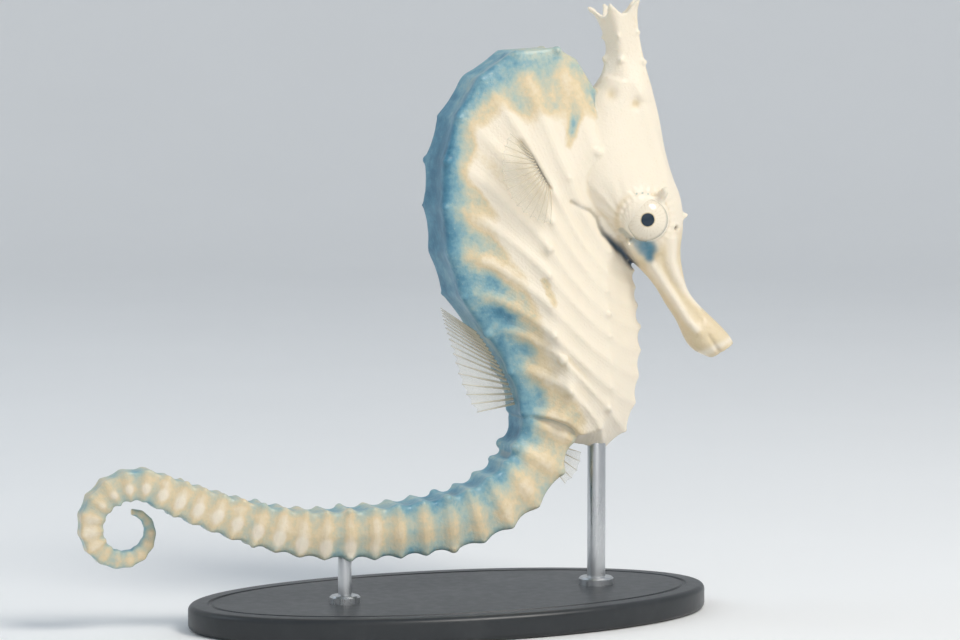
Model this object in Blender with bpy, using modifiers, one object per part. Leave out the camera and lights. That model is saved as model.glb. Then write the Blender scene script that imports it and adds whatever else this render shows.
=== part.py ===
"""Seahorse, a life-size display model: ringed body, crowned head and a plain stand.

The animal faces +X and its plane of symmetry is Y = 0.  The lines below are given in
millimetres as (x, z) in that plane, with z = 0 under the stand.  The whole model is
then centred over the origin.
"""
import math

import bmesh
import bpy
from mathutils import Matrix, Vector

MM = 0.001                 # one millimetre in metres
GAP = 0.30                 # space between neighbouring pieces
HALF_GAP = GAP / 2

# ---- trunk: eleven bony rings, fanned round the bent neck -------------------------
BACK_LINE = ((-2.0, 65.2), (-4.2, 66.8), (-7.8, 68.0), (-12.2, 67.6), (-16.7, 64.7),
             (-19.8, 60.1), (-21.5, 54.7), (-21.7, 49.0), (-20.8, 42.7), (-18.6, 37.3),
             (-14.9, 32.6), (-12.2, 28.2), (-10.9, 24.1))
BELLY_LINE = ((3.8, 43.3), (4.3, 40.1), (4.8, 35.7), (5.1, 31.0), (4.5, 25.4),
              (3.1, 21.7), (0.0, 19.6), (-3.5, 20.6))
TRUNK_HALF_WIDTHS = (3.6, 4.7, 5.3, 5.8, 6.1, 6.0, 5.2, 4.2)
TRUNK_RINGS = 11
BELLY_SPREAD = 1.45        # above 1 the rings stand closer at the throat than below
TRUNK_TUBERCLE = 0.45      # how far a ring stands out at each ridge
# One side of a trunk ring: depth from back (-1) to belly (+1), width, share of tubercle.
TRUNK_PROFILE = ((-0.94, 0.00, 0.0), (-0.93, 0.58, 1.0), (-0.52, 0.82, 0.0),
                 (-0.04, 0.96, 1.0), (0.30, 0.86, 0.0), (0.60, 0.70, 1.0),
                 (0.84, 0.36, 0.0), (0.98, 0.00, 1.0))
NECK_RANGE = (0.0, 3.5)    # in rings, from the head down
NECK_PLUG = ((0.6, 60.0), (2.4, 47.0), 2.2)   # back, belly and half width inside the head
UPPER_TRUNK_RANGE = (3.5, 7.5)
LOWER_TRUNK_RANGE = (7.5, 11.0)

# ---- tail: four-ridged rings that shrink towards a curled tip ---------------------
TAIL_LINE = ((-7.25, 22.3), (-9.6, 17.5), (-13.6, 14.4), (-18.8, 12.3), (-25.2, 11.5),
             (-31.5, 11.2), (-37.9, 11.4), (-44.2, 12.8), (-50.3, 14.95), (-55.6, 17.2))
CURL_RADIUS = 5.4          # of the tail's centre line where the curl starts
CURL_SHRINK = 0.34         # radius at the tip, as a share of the first
CURL_TURN = 380            # degrees
TAIL_ROOT_RADIUS = 3.75
TAIL_TIP_RADIUS = 0.42
TAIL_FULLNESS = 1.6        # above 1 the tail keeps its girth for longer
TAIL_TAPER = 0.90          # below 1 it thins more quickly at the very tip
TAIL_RINGS = 34
TAIL_RING_RATIO = 0.965    # each ring's length beside the one before it
TAIL_TUBERCLE = 0.12       # share of the tail's radius
TAIL_SWAY = 3.0            # how far the tail swings to either side
TAIL_SWAY_WAVES = 0.8
TAIL_PROFILE = ((-0.94, 0.00, 0.0), (-0.86, 0.66, 1.0), (-0.02, 0.86, 0.0),
                (0.80, 0.62, 1.0), (0.92, 0.00, 0.0))
TAIL_LENGTHS = (0, 6, 12, 19, 34)      # ring numbers where one length ends

# ---- head: sections fanned from the crown down to the mouth -----------------------
FRONT_LINE = ((6.1, 62.6), (6.9, 59.5), (7.7, 55.3), (8.6, 52.2), (9.6, 49.5),
              (9.9, 46.4), (9.6, 43.3), (9.9, 40.7), (10.6, 38.4), (12.1, 36.5),
              (14.1, 34.6), (15.5, 33.1), (16.0, 32.3))
REAR_LINE = ((0.0, 64.3), (-2.7, 60.1), (-5.2, 54.8), (-4.2, 50.3), (0.2, 46.2),
             (3.0, 42.8), (5.2, 40.6), (6.6, 38.9), (7.8, 36.9), (9.1, 34.9),
             (10.3, 32.4), (11.4, 31.2), (13.1, 30.4))
HEAD_HALF_WIDTHS = (2.5, 3.2, 4.4, 4.9, 4.3, 3.3, 2.3, 1.85, 1.7, 1.75, 1.95, 1.9, 1.35)
SNOUT_START = 6.0          # station where the tube of the snout begins
HEAD_TURN = 15             # degrees that the head looks to the animal's right
HEAD_PIVOT_X = -1.0
HEAD_SIDES = 20
ORBIT_HEIGHT = 0.8         # swelling of the head round each eye
ORBIT_REACH = 3.4
# Blunt spines as (x, y, z) of the root and the tip, and the root's radius.
EYE_SPINE = ((6.2, 3.4, 48.9), (7.1, 5.2, 51.1), 1.0)
CHEEK_SPINE = ((3.3, 2.0, 45.2), (2.7, 5.2, 44.3), 0.9)
NOSE_SPINE = ((8.0, 0.0, 46.9), (10.6, 0.0, 47.6), 0.95)
SPINE_TIP_RADIUS = 0.22

# ---- eyes --------------------------------------------------------------------------
EYE_CENTRE = (4.9, 47.3)
EYE_RADIUS = 2.7           # seen from the side
EYE_HALF_DEPTH = 1.9       # along Y
EYE_OFFSET = 3.8           # of the eye's centre from the head's middle

# ---- crown -------------------------------------------------------------------------
CROWN_BASE = (3.05, 63.45) # middle of the head's first section
CROWN_TOP = (1.75, 72.0)
CROWN_BOW = 0.30           # how far its axis bows forwards halfway up
CROWN_POINTS = 5
# height share, half depth, half width, depth of the star
CROWN_SECTIONS = ((0.00, 3.20, 2.50, 0.00), (0.16, 2.70, 2.15, 0.03),
                  (0.32, 2.30, 1.85, 0.06), (0.48, 2.08, 1.75, 0.08),
                  (0.66, 2.05, 1.80, 0.10), (0.84, 2.22, 2.05, 0.15),
                  (1.00, 2.55, 2.45, 0.24))
CROWN_DISH = 1.3           # depth of the hollow in its top
CROWN_DISH_FLOOR = 0.62    # size of the dish's lower edge beside the rim
CROWN_POINT_RISE = 1.5     # how far the points stand above the notches between them

# ---- fins --------------------------------------------------------------------------
FIN_THICKNESS = 0.55
FIN_STEPS = 4              # rows of faces from a fin's root to its edge
FIN_ROOT_GAP = 0.05        # clearance between a ridge and a fin's root
DORSAL_FIN_RINGS = (8.95, 10.75)
DORSAL_FIN_HEIGHT = 6.4
DORSAL_FIN_RAYS = 14
DORSAL_FIN_LEAN = (-0.15, 0.75)        # of the first and the last ray, along the back
PECTORAL_ROOT_TOP = (-11.2, 55.4)
PECTORAL_ROOT_BOTTOM = (-8.6, 50.8)
PECTORAL_LENGTH = 5.2
PECTORAL_FAN = (142, 262)  # degrees from +X of its first and last ray
PECTORAL_RAYS = 10
PECTORAL_OUT = 6.15        # distance of the fin's root from the plane of symmetry
PECTORAL_FLARE = 1.7       # how much farther out its edge stands
PECTORAL_CUP = 0.5
ANAL_FIN_RINGS = (0.35, 1.0)           # on the tail
ANAL_FIN_HEIGHT = 2.3
ANAL_FIN_RAYS = 6
ANAL_FIN_LEAN = (-0.1, 0.6)

# ---- stand -------------------------------------------------------------------------
BASE_CENTRE_X = -19.0
BASE_HALF_LENGTH = 32.0
BASE_HALF_WIDTH = 17.0
BASE_THICKNESS = 3.0
BASE_EDGE = 0.7
TRUNK_ROD_X = -0.4
TRUNK_ROD_TOP = 22.6
TRUNK_ROD_RADIUS = 1.1
TAIL_ROD_RING = 9          # the tail ring that the second rod carries
TAIL_ROD_RADIUS = 0.8
TAIL_ROD_REACH = 0.3       # its top lies this share of the tail's radius below the middle

COLOURS = {
    "skin": ((0.86, 0.78, 0.62), 0.55, 0.0),
    "snout": ((0.88, 0.80, 0.66), 0.50, 0.0),
    "crown": ((0.90, 0.84, 0.72), 0.55, 0.0),
    "fin": ((0.80, 0.76, 0.64), 0.45, 0.0),
    "eye": ((0.10, 0.16, 0.22), 0.12, 0.0),
    "base": ((0.05, 0.06, 0.07), 0.35, 0.0),
    "rod": ((0.62, 0.64, 0.66), 0.30, 1.0),
}


# ---- lines and sections ------------------------------------------------------------
def spline(points, place):
    """Point of a smooth curve through the points; place counts from 0 at the first."""
    last = len(points) - 1
    place = min(max(place, 0.0), float(last))
    index = min(int(place), last - 1)
    t = place - index
    wide = [Vector(points[min(max(index + k, 0), last)]) for k in (-1, 0, 1, 2)]
    return 0.5 * (2 * wide[1] + (wide[2] - wide[0]) * t
                  + (2 * wide[0] - 5 * wide[1] + 4 * wide[2] - wide[3]) * t * t
                  + (3 * wide[1] - wide[0] - 3 * wide[2] + wide[3]) * t ** 3)


def number_spline(values, place):
    """The same curve through single numbers."""
    return spline([(value, 0.0) for value in values], place).x


class EvenLine:
    """A smooth line read by its share of length, from 0 to 1."""

    STEPS = 240

    def __init__(self, points):
        last = len(points) - 1
        self.samples = [spline(points, last * k / self.STEPS) for k in range(self.STEPS + 1)]
        self.lengths = [0.0]
        for one, two in zip(self.samples, self.samples[1:]):
            self.lengths.append(self.lengths[-1] + (two - one).length)
        self.length = self.lengths[-1]

    def at(self, share):
        """Point at a share of the length."""
        wanted = min(max(share, 0.0), 1.0) * self.length
        for index in range(self.STEPS):
            if self.lengths[index + 1] >= wanted:
                step = self.lengths[index + 1] - self.lengths[index]
                t = (wanted - self.lengths[index]) / step
                return self.samples[index].lerp(self.samples[index + 1], t)
        return self.samples[-1].copy()

    def along(self, share):
        """Unit direction at a share of the length."""
        small = 0.004
        return (self.at(share + small) - self.at(share - small)).normalized()


def in_space(point, y=0.0):
    """A point of the plane of symmetry, in metres, moved sideways by y millimetres."""
    return Vector((point.x * MM, y * MM, point.y * MM))


def in_head_space(point, y=0.0):
    """The same for the head, which is turned about an upright line through the neck."""
    turn = math.radians(-HEAD_TURN)
    ahead = point.x - HEAD_PIVOT_X
    across = ahead * math.sin(turn) + y * math.cos(turn)
    ahead = ahead * math.cos(turn) - y * math.sin(turn)
    return in_space(Vector((HEAD_PIVOT_X + ahead, point.y)), across)


def ridged_section(back, belly, half_width, profile, tubercle):
    """One ring of the body: the profile between a back and a belly point, mirrored."""
    middle = (back + belly) / 2
    half = (belly - back) / 2
    side = []
    for depth, width, share in profile:
        flat = Vector((depth * half.length, width * half_width))
        flat += flat.normalized() * share * tubercle
        side.append((middle + half.normalized() * flat.x, flat.y))
    ring = [in_space(point, -y) for point, y in side]
    ring += [in_space(point, y) for point, y in reversed(side[1:-1])]
    return ring


# ---- pieces ------------------------------------------------------------------------
def clear_scene():
    """Removes whatever the file opened with."""
    for obj in list(bpy.data.objects):
        bpy.data.objects.remove(obj, do_unlink=True)


def new_collection(name):
    """A collection linked to the scene."""
    collection = bpy.data.collections.new(name)
    bpy.context.scene.collection.children.link(collection)
    return collection


def material(key):
    """The Principled material of one kind of surface, made on first use."""
    found = bpy.data.materials.get(key)
    if found:
        return found
    colour, roughness, metallic = COLOURS[key]
    made = bpy.data.materials.new(key)
    made.use_nodes = True
    shader = made.node_tree.nodes["Principled BSDF"]
    shader.inputs["Base Color"].default_value = (*colour, 1.0)
    shader.inputs["Roughness"].default_value = roughness
    shader.inputs["Metallic"].default_value = metallic
    return made


def finish_object(name, mesh_data, collection, key):
    """Turns a bmesh into a smooth-shaded object of the collection."""
    bmesh.ops.recalc_face_normals(mesh_data, faces=mesh_data.faces)
    mesh = bpy.data.meshes.new(name)
    mesh_data.to_mesh(mesh)
    mesh_data.free()
    mesh.materials.append(material(key))
    mesh.shade_smooth()
    mesh.set_sharp_from_angle(angle=math.radians(50))
    obj = bpy.data.objects.new(name, mesh)
    collection.objects.link(obj)
    return obj


def loft(sections, end_point=None):
    """A closed skin over sections of equal count, its last end flat or drawn to a point."""
    body = bmesh.new()
    rings = [[body.verts.new(point) for point in section] for section in sections]
    count = len(rings[0])
    for one, two in zip(rings, rings[1:]):
        for k in range(count):
            n = (k + 1) % count
            body.faces.new((one[k], one[n], two[n], two[k]))
    body.faces.new(rings[0])
    if end_point is None:
        body.faces.new(rings[-1])
        return body
    peak = body.verts.new(end_point)
    for k in range(count):
        body.faces.new((rings[-1][k], rings[-1][(k + 1) % count], peak))
    return body


def cut(target, cutter):
    """Takes the cutter's shape out of the target."""
    modifier = target.modifiers.new("cut", "BOOLEAN")
    modifier.operation = "DIFFERENCE"
    modifier.solver = "EXACT"
    modifier.object = cutter


def join(target, extra):
    """Makes the target and the extra shape one body."""
    modifier = target.modifiers.new("join", "BOOLEAN")
    modifier.operation = "UNION"
    modifier.solver = "EXACT"
    modifier.object = extra


def as_guide(obj):
    """Marks an object as a cutter or guide."""
    obj.hide_render = True
    obj.display_type = "WIRE"
    return obj


# ---- trunk -------------------------------------------------------------------------
BACK = EvenLine(BACK_LINE)
BELLY = EvenLine(BELLY_LINE)


def trunk_ends(ring):
    """Back point, belly point and half width of the trunk at a ring number."""
    share = ring / TRUNK_RINGS
    half_width = number_spline(TRUNK_HALF_WIDTHS, share * (len(TRUNK_HALF_WIDTHS) - 1))
    return BACK.at(share), BELLY.at(share ** BELLY_SPREAD), half_width


def trunk_section(ring, shift=0.0):
    """Section of the trunk at a ring number, moved along the body by shift millimetres."""
    share = ring / TRUNK_RINGS
    back, belly, half_width = trunk_ends(ring)
    back = back + BACK.along(share) * shift
    belly = belly + BELLY.along(share ** BELLY_SPREAD) * shift
    crest = 0.5 + 0.5 * math.cos(2 * math.pi * ring)
    return ridged_section(back, belly, half_width, TRUNK_PROFILE, TRUNK_TUBERCLE * crest)


def trunk_piece(name, ring_range, collection):
    """A run of trunk rings with a flat seam at each end."""
    first, last = ring_range
    halves = int(round((last - first) * 2))
    sections = [trunk_section(first, HALF_GAP)]
    sections += [trunk_section(first + k / 2) for k in range(1, halves)]
    sections.append(trunk_section(last, -HALF_GAP))
    return finish_object(name, loft(sections), collection, "skin")


def neck_piece(collection):
    """The first rings, with a plug that reaches into the head and is cut by it."""
    back, belly, half_width = NECK_PLUG
    plug = ridged_section(Vector(back), Vector(belly), half_width, TRUNK_PROFILE, 0.0)
    sections = [plug, trunk_section(0.5)]
    sections += [trunk_section(k / 2) for k in range(2, int(NECK_RANGE[1] * 2))]
    sections.append(trunk_section(NECK_RANGE[1], -HALF_GAP))
    return finish_object("neck", loft(sections), collection, "skin")


# ---- tail --------------------------------------------------------------------------
def curled_tail_line():
    """The tail's centre line, ended by a spiral that turns down and inwards."""
    end = Vector(TAIL_LINE[-1])
    heading = (end - Vector(TAIL_LINE[-2])).normalized()
    points = list(TAIL_LINE)
    place = end.copy()
    steps = 36
    angle = math.atan2(heading.y, heading.x)
    for k in range(steps):
        share = (k + 0.5) / steps
        radius = CURL_RADIUS * (1 - (1 - CURL_SHRINK) * share)
        turn = math.radians(CURL_TURN) / steps
        angle += turn
        place = place + Vector((math.cos(angle), math.sin(angle))) * radius * turn
        points.append(tuple(place))
    return points


TAIL = EvenLine(curled_tail_line())
TAIL_SPAN = sum(TAIL_RING_RATIO ** k for k in range(TAIL_RINGS))


def tail_share(ring):
    """Share of the tail's length at a ring number, which may be a half."""
    whole = int(ring)
    length = sum(TAIL_RING_RATIO ** k for k in range(whole))
    return (length + (ring - whole) * TAIL_RING_RATIO ** whole) / TAIL_SPAN


def tail_radius(share):
    """Half the tail's depth at a share of its length."""
    thinned = (1 - min(share, 1.0) ** TAIL_FULLNESS) ** TAIL_TAPER
    return TAIL_TIP_RADIUS + (TAIL_ROOT_RADIUS - TAIL_TIP_RADIUS) * thinned


def tail_sway(share):
    """How far the tail's centre line lies to the side, easing out of the trunk."""
    ease = min(share / 0.16, 1.0)
    wave = math.sin(2 * math.pi * TAIL_SWAY_WAVES * share)
    return -TAIL_SWAY * wave * ease * ease * (3 - 2 * ease)


def tail_section(ring, shift=0.0):
    """Section of the tail at a ring number, moved along it by shift millimetres."""
    share = tail_share(ring)
    centre = TAIL.at(share)
    heading = TAIL.along(share)
    down = Vector((-heading.y, heading.x))
    radius = tail_radius(share)
    crest = 0.5 + 0.5 * math.cos(2 * math.pi * ring)
    centre = centre + heading * shift
    tubercle = TAIL_TUBERCLE * radius * crest
    ring = ridged_section(centre - down * radius, centre + down * radius, radius,
                          TAIL_PROFILE, tubercle)
    return [point + Vector((0.0, tail_sway(share) * MM, 0.0)) for point in ring]


def tail_piece(number, collection):
    """One length of the tail."""
    first, last = TAIL_LENGTHS[number - 1], TAIL_LENGTHS[number]
    sections = [tail_section(first, HALF_GAP)]
    sections += [tail_section(first + k / 2) for k in range(1, (last - first) * 2)]
    is_tip = last == TAIL_RINGS
    sections.append(tail_section(last, 0.0 if is_tip else -HALF_GAP))
    name = "tail_tip" if is_tip else f"tail_{number}"
    return finish_object(name, loft(sections), collection, "skin")


# ---- head --------------------------------------------------------------------------
def head_section(station, grow=0.0, shift=0.0):
    """Section of the head between its front and rear lines."""
    front = spline(FRONT_LINE, station)
    rear = spline(REAR_LINE, station)
    half_width = number_spline(HEAD_HALF_WIDTHS, station)
    middle = (front + rear) / 2
    half = (front - rear) / 2
    onward = Vector((half.y, -half.x)).normalized() * shift
    tube = min(max((station - 4.0) / 3.0, 0.0), 1.0)
    skew = -0.30 * (1 - tube)
    ring = []
    for k in range(HEAD_SIDES):
        angle = 2 * math.pi * k / HEAD_SIDES
        depth = math.cos(angle)
        across = math.copysign(abs(math.sin(angle)) ** 0.9, math.sin(angle))
        width = half_width * across * (1 + skew * depth) + grow * math.sin(angle)
        point = middle + half.normalized() * depth * (half.length + grow) + onward
        width += orbit_swelling(point) * math.copysign(abs(math.sin(angle)) ** 0.5, across)
        ring.append(in_head_space(point, -width))
    return ring


def orbit_swelling(point):
    """How far the head swells sideways round the eye."""
    distance = (point - Vector(EYE_CENTRE)).length
    return ORBIT_HEIGHT * math.exp(-(distance / ORBIT_REACH) ** 4)


def head_loft(first, last, grow=0.0, ends=(0.0, 0.0)):
    """The head's skin between two stations."""
    steps = max(2, int(round((last - first) * 2.5)))
    sections = []
    for k in range(steps + 1):
        shift = ends[0] if k == 0 else ends[1] if k == steps else 0.0
        sections.append(head_section(first + (last - first) * k / steps, grow, shift))
    return loft(sections)


def head_piece(collection):
    """The skull and cheeks, from the root of the crown to the root of the snout."""
    body = head_loft(0.0, SNOUT_START, ends=(HALF_GAP, -HALF_GAP))
    return finish_object("head", body, collection, "skin")


def snout_piece(collection):
    """The tubular snout, flared at the small mouth."""
    last = float(len(FRONT_LINE) - 1)
    body = head_loft(SNOUT_START, last, ends=(HALF_GAP, 0.0))
    return finish_object("snout", body, collection, "snout")


def grown_head(cutters):
    """The head one gap larger all round, which cuts the neck."""
    return as_guide(finish_object("head_clearance", head_loft(0.0, SNOUT_START + 0.4, grow=GAP),
                                  cutters, "skin"))


def spine_cone(name, sizes, side, cutters):
    """A blunt spine from a root inside the head to a tip outside it."""
    root, tip = (in_head_space(Vector((x, z)), side * y) for x, y, z in sizes[:2])
    body = bmesh.new()
    axis = tip - root
    bmesh.ops.create_cone(body, cap_ends=True, segments=8, radius1=sizes[2] * MM,
                          radius2=SPINE_TIP_RADIUS * MM, depth=axis.length)
    turn = Vector((0, 0, 1)).rotation_difference(axis).to_matrix().to_4x4()
    bmesh.ops.transform(body, matrix=Matrix.Translation((root + tip) / 2) @ turn, verts=body.verts)
    return as_guide(finish_object(name, body, cutters, "skin"))


def add_head_spines(head, cutters):
    """A spine over each eye, one under each cheek and one before the brow."""
    for side, word in ((-1, "right"), (1, "left")):
        join(head, spine_cone(f"eye_spine_{word}", EYE_SPINE, side, cutters))
        join(head, spine_cone(f"cheek_spine_{word}", CHEEK_SPINE, side, cutters))
    join(head, spine_cone("nose_spine", NOSE_SPINE, 1, cutters))


def eye_ellipsoid(name, side, grow, collection):
    """One eye, or its socket when grown."""
    body = bmesh.new()
    bmesh.ops.create_uvsphere(body, u_segments=20, v_segments=12, radius=1.0)
    radius = (EYE_RADIUS + grow) * MM
    depth = (EYE_HALF_DEPTH + grow) * MM
    size = Matrix.Diagonal((radius, radius, depth, 1.0))
    turn = Matrix.Rotation(math.radians(90), 4, "X")
    turn = Matrix.Rotation(math.radians(-HEAD_TURN), 4, "Z") @ turn
    place = Matrix.Translation(in_head_space(Vector(EYE_CENTRE), side * EYE_OFFSET))
    bmesh.ops.transform(body, matrix=place @ turn @ size, verts=body.verts)
    return finish_object(name, body, collection, "eye")


# ---- crown -------------------------------------------------------------------------
def crown_section(height, half_depth, half_width, star, sink=0.0):
    """Section of the crown, with five rounded points where star is above zero."""
    base = Vector(CROWN_BASE)
    axis = Vector(CROWN_TOP) - base
    seam = (Vector(FRONT_LINE[0]) - Vector(REAR_LINE[0])).normalized()
    level = Vector((axis.y, -axis.x)).normalized()
    forward = seam.lerp(level, min(height * 1.6, 1.0)).normalized()
    up = Vector((-forward.y, forward.x))
    sides = CROWN_POINTS * 4
    ring = []
    for k in range(sides):
        angle = 2 * math.pi * k / sides
        wave = math.cos(CROWN_POINTS * angle)
        reach = 1 + star * wave
        point = base + axis * height - forward * half_depth * reach * math.cos(angle)
        point += forward * CROWN_BOW * math.sin(math.pi * min(height, 1.0))
        point += up * (CROWN_POINT_RISE * 2 * star * wave - sink)
        ring.append(in_head_space(point, half_width * reach * math.sin(angle)))
    return ring


def crown_piece(collection):
    """The tall crown: a waisted column that opens into a five-pointed cup."""
    sections = []
    for index, (height, half_depth, half_width, star) in enumerate(CROWN_SECTIONS):
        sink = -HALF_GAP if index == 0 else 0.0
        sections.append(crown_section(height, half_depth, half_width, star, sink))
    top, half_depth, half_width, star = CROWN_SECTIONS[-1]
    floor = CROWN_DISH_FLOOR
    sections.append(crown_section(top, half_depth * floor, half_width * floor, star * floor,
                                  CROWN_DISH / 2))
    bottom = Vector(CROWN_TOP) - (Vector(CROWN_TOP) - Vector(CROWN_BASE)).normalized() * CROWN_DISH
    body = loft(sections, end_point=in_head_space(bottom))
    return finish_object("coronet", body, collection, "crown")


# ---- fins --------------------------------------------------------------------------
def fin_plate(name, rows, collection):
    """A thin plate over rows of points, with its thickness laid evenly on both sides."""
    body = bmesh.new()
    grid = [[body.verts.new(point) for point in row] for row in rows]
    for one, two in zip(grid, grid[1:]):
        for k in range(len(one) - 1):
            body.faces.new((one[k], one[k + 1], two[k + 1], two[k]))
    obj = finish_object(name, body, collection, "fin")
    solid = obj.modifiers.new("thickness", "SOLIDIFY")
    solid.thickness = FIN_THICKNESS * MM
    solid.offset = 0.0
    solid.use_even_offset = True
    return obj


def between(ends, share):
    """The number at a share of the way between two."""
    return ends[0] + (ends[1] - ends[0]) * share


def ray_points(root, direction, length):
    """Points along one ray of a fin, from its root to the edge."""
    return [in_space(root + direction * length * step / FIN_STEPS)
            for step in range(FIN_STEPS + 1)]


def dorsal_fin(collection):
    """The fan on the back where the trunk meets the tail."""
    rows = []
    for ray in range(DORSAL_FIN_RAYS + 1):
        share = ray / DORSAL_FIN_RAYS
        ring = between(DORSAL_FIN_RINGS, share)
        back, belly, _ = trunk_ends(ring)
        outward = (back - belly).normalized()
        lean = outward + BACK.along(ring / TRUNK_RINGS) * between(DORSAL_FIN_LEAN, share)
        height = DORSAL_FIN_HEIGHT * (0.55 + 0.45 * math.sin(math.pi * (0.12 + 0.80 * share)))
        root = back + outward * (TRUNK_TUBERCLE + FIN_ROOT_GAP)
        rows.append(ray_points(root, lean.normalized(), height))
    return fin_plate("dorsal_fin", rows, collection)


def pectoral_fin(side, word, collection):
    """A small rounded fan behind the cheek, opened backwards and outwards."""
    top, bottom = Vector(PECTORAL_ROOT_TOP), Vector(PECTORAL_ROOT_BOTTOM)
    rows = []
    for ray in range(PECTORAL_RAYS + 1):
        share = ray / PECTORAL_RAYS
        root = top.lerp(bottom, share)
        angle = math.radians(between(PECTORAL_FAN, share))
        direction = Vector((math.cos(angle), math.sin(angle)))
        length = PECTORAL_LENGTH * (0.72 + 0.28 * math.sin(math.pi * share))
        row = []
        for step in range(FIN_STEPS + 1):
            reach = step / FIN_STEPS
            flare = PECTORAL_FLARE + PECTORAL_CUP * math.sin(math.pi * share)
            row.append(in_space(root + direction * length * reach,
                                side * (PECTORAL_OUT + flare * reach)))
        rows.append(row)
    return fin_plate(f"pectoral_fin_{word}", rows, collection)


def anal_fin(collection):
    """The tiny fan under the root of the tail."""
    rows = []
    for ray in range(ANAL_FIN_RAYS + 1):
        share = ray / ANAL_FIN_RAYS
        tail = tail_share(between(ANAL_FIN_RINGS, share))
        heading = TAIL.along(tail)
        down = Vector((-heading.y, heading.x))
        root = TAIL.at(tail) + down * (tail_radius(tail) + FIN_ROOT_GAP * 3)
        direction = down + heading * between(ANAL_FIN_LEAN, share)
        height = ANAL_FIN_HEIGHT * (0.8 + 0.2 * math.sin(math.pi * share))
        rows.append(ray_points(root, direction.normalized(), height))
    return fin_plate("anal_fin", rows, collection)


# ---- stand -------------------------------------------------------------------------
def stand_base(collection):
    """A flat oval foot with softened edges."""
    body = bmesh.new()
    bmesh.ops.create_cone(body, cap_ends=True, segments=56, radius1=1.0, radius2=1.0, depth=1.0)
    size = Matrix.Diagonal((BASE_HALF_LENGTH * MM, BASE_HALF_WIDTH * MM, BASE_THICKNESS * MM, 1.0))
    place = Matrix.Translation((BASE_CENTRE_X * MM, 0.0, BASE_THICKNESS * MM / 2))
    bmesh.ops.transform(body, matrix=place @ size, verts=body.verts)
    obj = finish_object("stand_base", body, collection, "base")
    bevel = obj.modifiers.new("soft_edge", "BEVEL")
    bevel.width = BASE_EDGE * MM
    bevel.segments = 2
    bevel.limit_method = "ANGLE"
    bevel.angle_limit = math.radians(50)
    return obj


def rod(name, foot, top, radius, collection, grow=0.0):
    """An upright rod from the base, over a foot point (x, y), to a height."""
    bottom = BASE_THICKNESS + GAP - grow
    top = top + grow
    body = bmesh.new()
    bmesh.ops.create_cone(body, cap_ends=True, segments=16, radius1=(radius + grow) * MM,
                          radius2=(radius + grow) * MM, depth=(top - bottom) * MM)
    place = Vector((foot[0], foot[1], (top + bottom) / 2)) * MM
    bmesh.ops.translate(body, vec=place, verts=body.verts)
    return finish_object(name, body, collection, "rod")


def stand_rods(collection, cutters, lower_trunk, second_tail_length):
    """Two rods, each let into the body in a hole one gap wider."""
    share = tail_share(TAIL_ROD_RING)
    under_tail = TAIL.at(share)
    tail_foot = (under_tail.x, tail_sway(share))
    tail_top = under_tail.y - TAIL_ROD_REACH * tail_radius(share)
    trunk_foot = (TRUNK_ROD_X, 0.0)
    for word, foot, top, radius, carried in (
            ("trunk", trunk_foot, TRUNK_ROD_TOP, TRUNK_ROD_RADIUS, lower_trunk),
            ("tail", tail_foot, tail_top, TAIL_ROD_RADIUS, second_tail_length)):
        rod(f"stand_rod_{word}", foot, top, radius, collection)
        cut(carried, as_guide(rod(f"{word}_hole", foot, top, radius, cutters, GAP)))


# ---- assembly ----------------------------------------------------------------------
def centring_frame(collection):
    """The empty that carries every piece, and how far it moves to centre them in X."""
    frame = bpy.data.objects.new("seahorse_frame", None)
    collection.objects.link(frame)
    bpy.context.view_layer.update()
    places = [corner[0] for obj in collection.objects if obj.type == "MESH"
              for corner in obj.bound_box]
    return frame, -(min(places) + max(places)) / 2


def build():
    """Builds the whole model."""
    clear_scene()
    parts = new_collection("seahorse")
    cutters = new_collection("seahorse_cutters")

    head = head_piece(parts)
    add_head_spines(head, cutters)
    for side, word in ((-1, "right"), (1, "left")):
        eye_ellipsoid(f"eye_{word}", side, 0.0, parts)
        cut(head, as_guide(eye_ellipsoid(f"socket_{word}", side, GAP, cutters)))
    snout_piece(parts)
    crown_piece(parts)

    neck = neck_piece(parts)
    cut(neck, grown_head(cutters))
    trunk_piece("trunk_upper", UPPER_TRUNK_RANGE, parts)
    lower_trunk = trunk_piece("trunk_lower", LOWER_TRUNK_RANGE, parts)
    tail_lengths = [tail_piece(number, parts) for number in range(1, len(TAIL_LENGTHS))]

    dorsal_fin(parts)
    for side, word in ((-1, "right"), (1, "left")):
        pectoral_fin(side, word, parts)
    anal_fin(parts)
    stand_base(parts)
    stand_rods(parts, cutters, lower_trunk, tail_lengths[1])

    frame, shift = centring_frame(parts)
    for obj in list(parts.objects) + list(cutters.objects):
        if obj is not frame:
            obj.parent = frame
    frame.location.x = shift


build()
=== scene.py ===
"""Seahorse display model: skin, fins, eyes and stand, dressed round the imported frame.

Sizes are in millimetres in the maker's own plane: x runs the way the trunk faces, y to
the animal's left and z up from the underside of the stand.  Bench turns them into the
frame's metres.
"""

import logging
import math
from collections.abc import Mapping, Sequence
from dataclasses import dataclass, field
from enum import Enum
from typing import Any

import bmesh
import bpy
import numpy as np
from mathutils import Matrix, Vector
from mathutils.bvhtree import BVHTree


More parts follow.
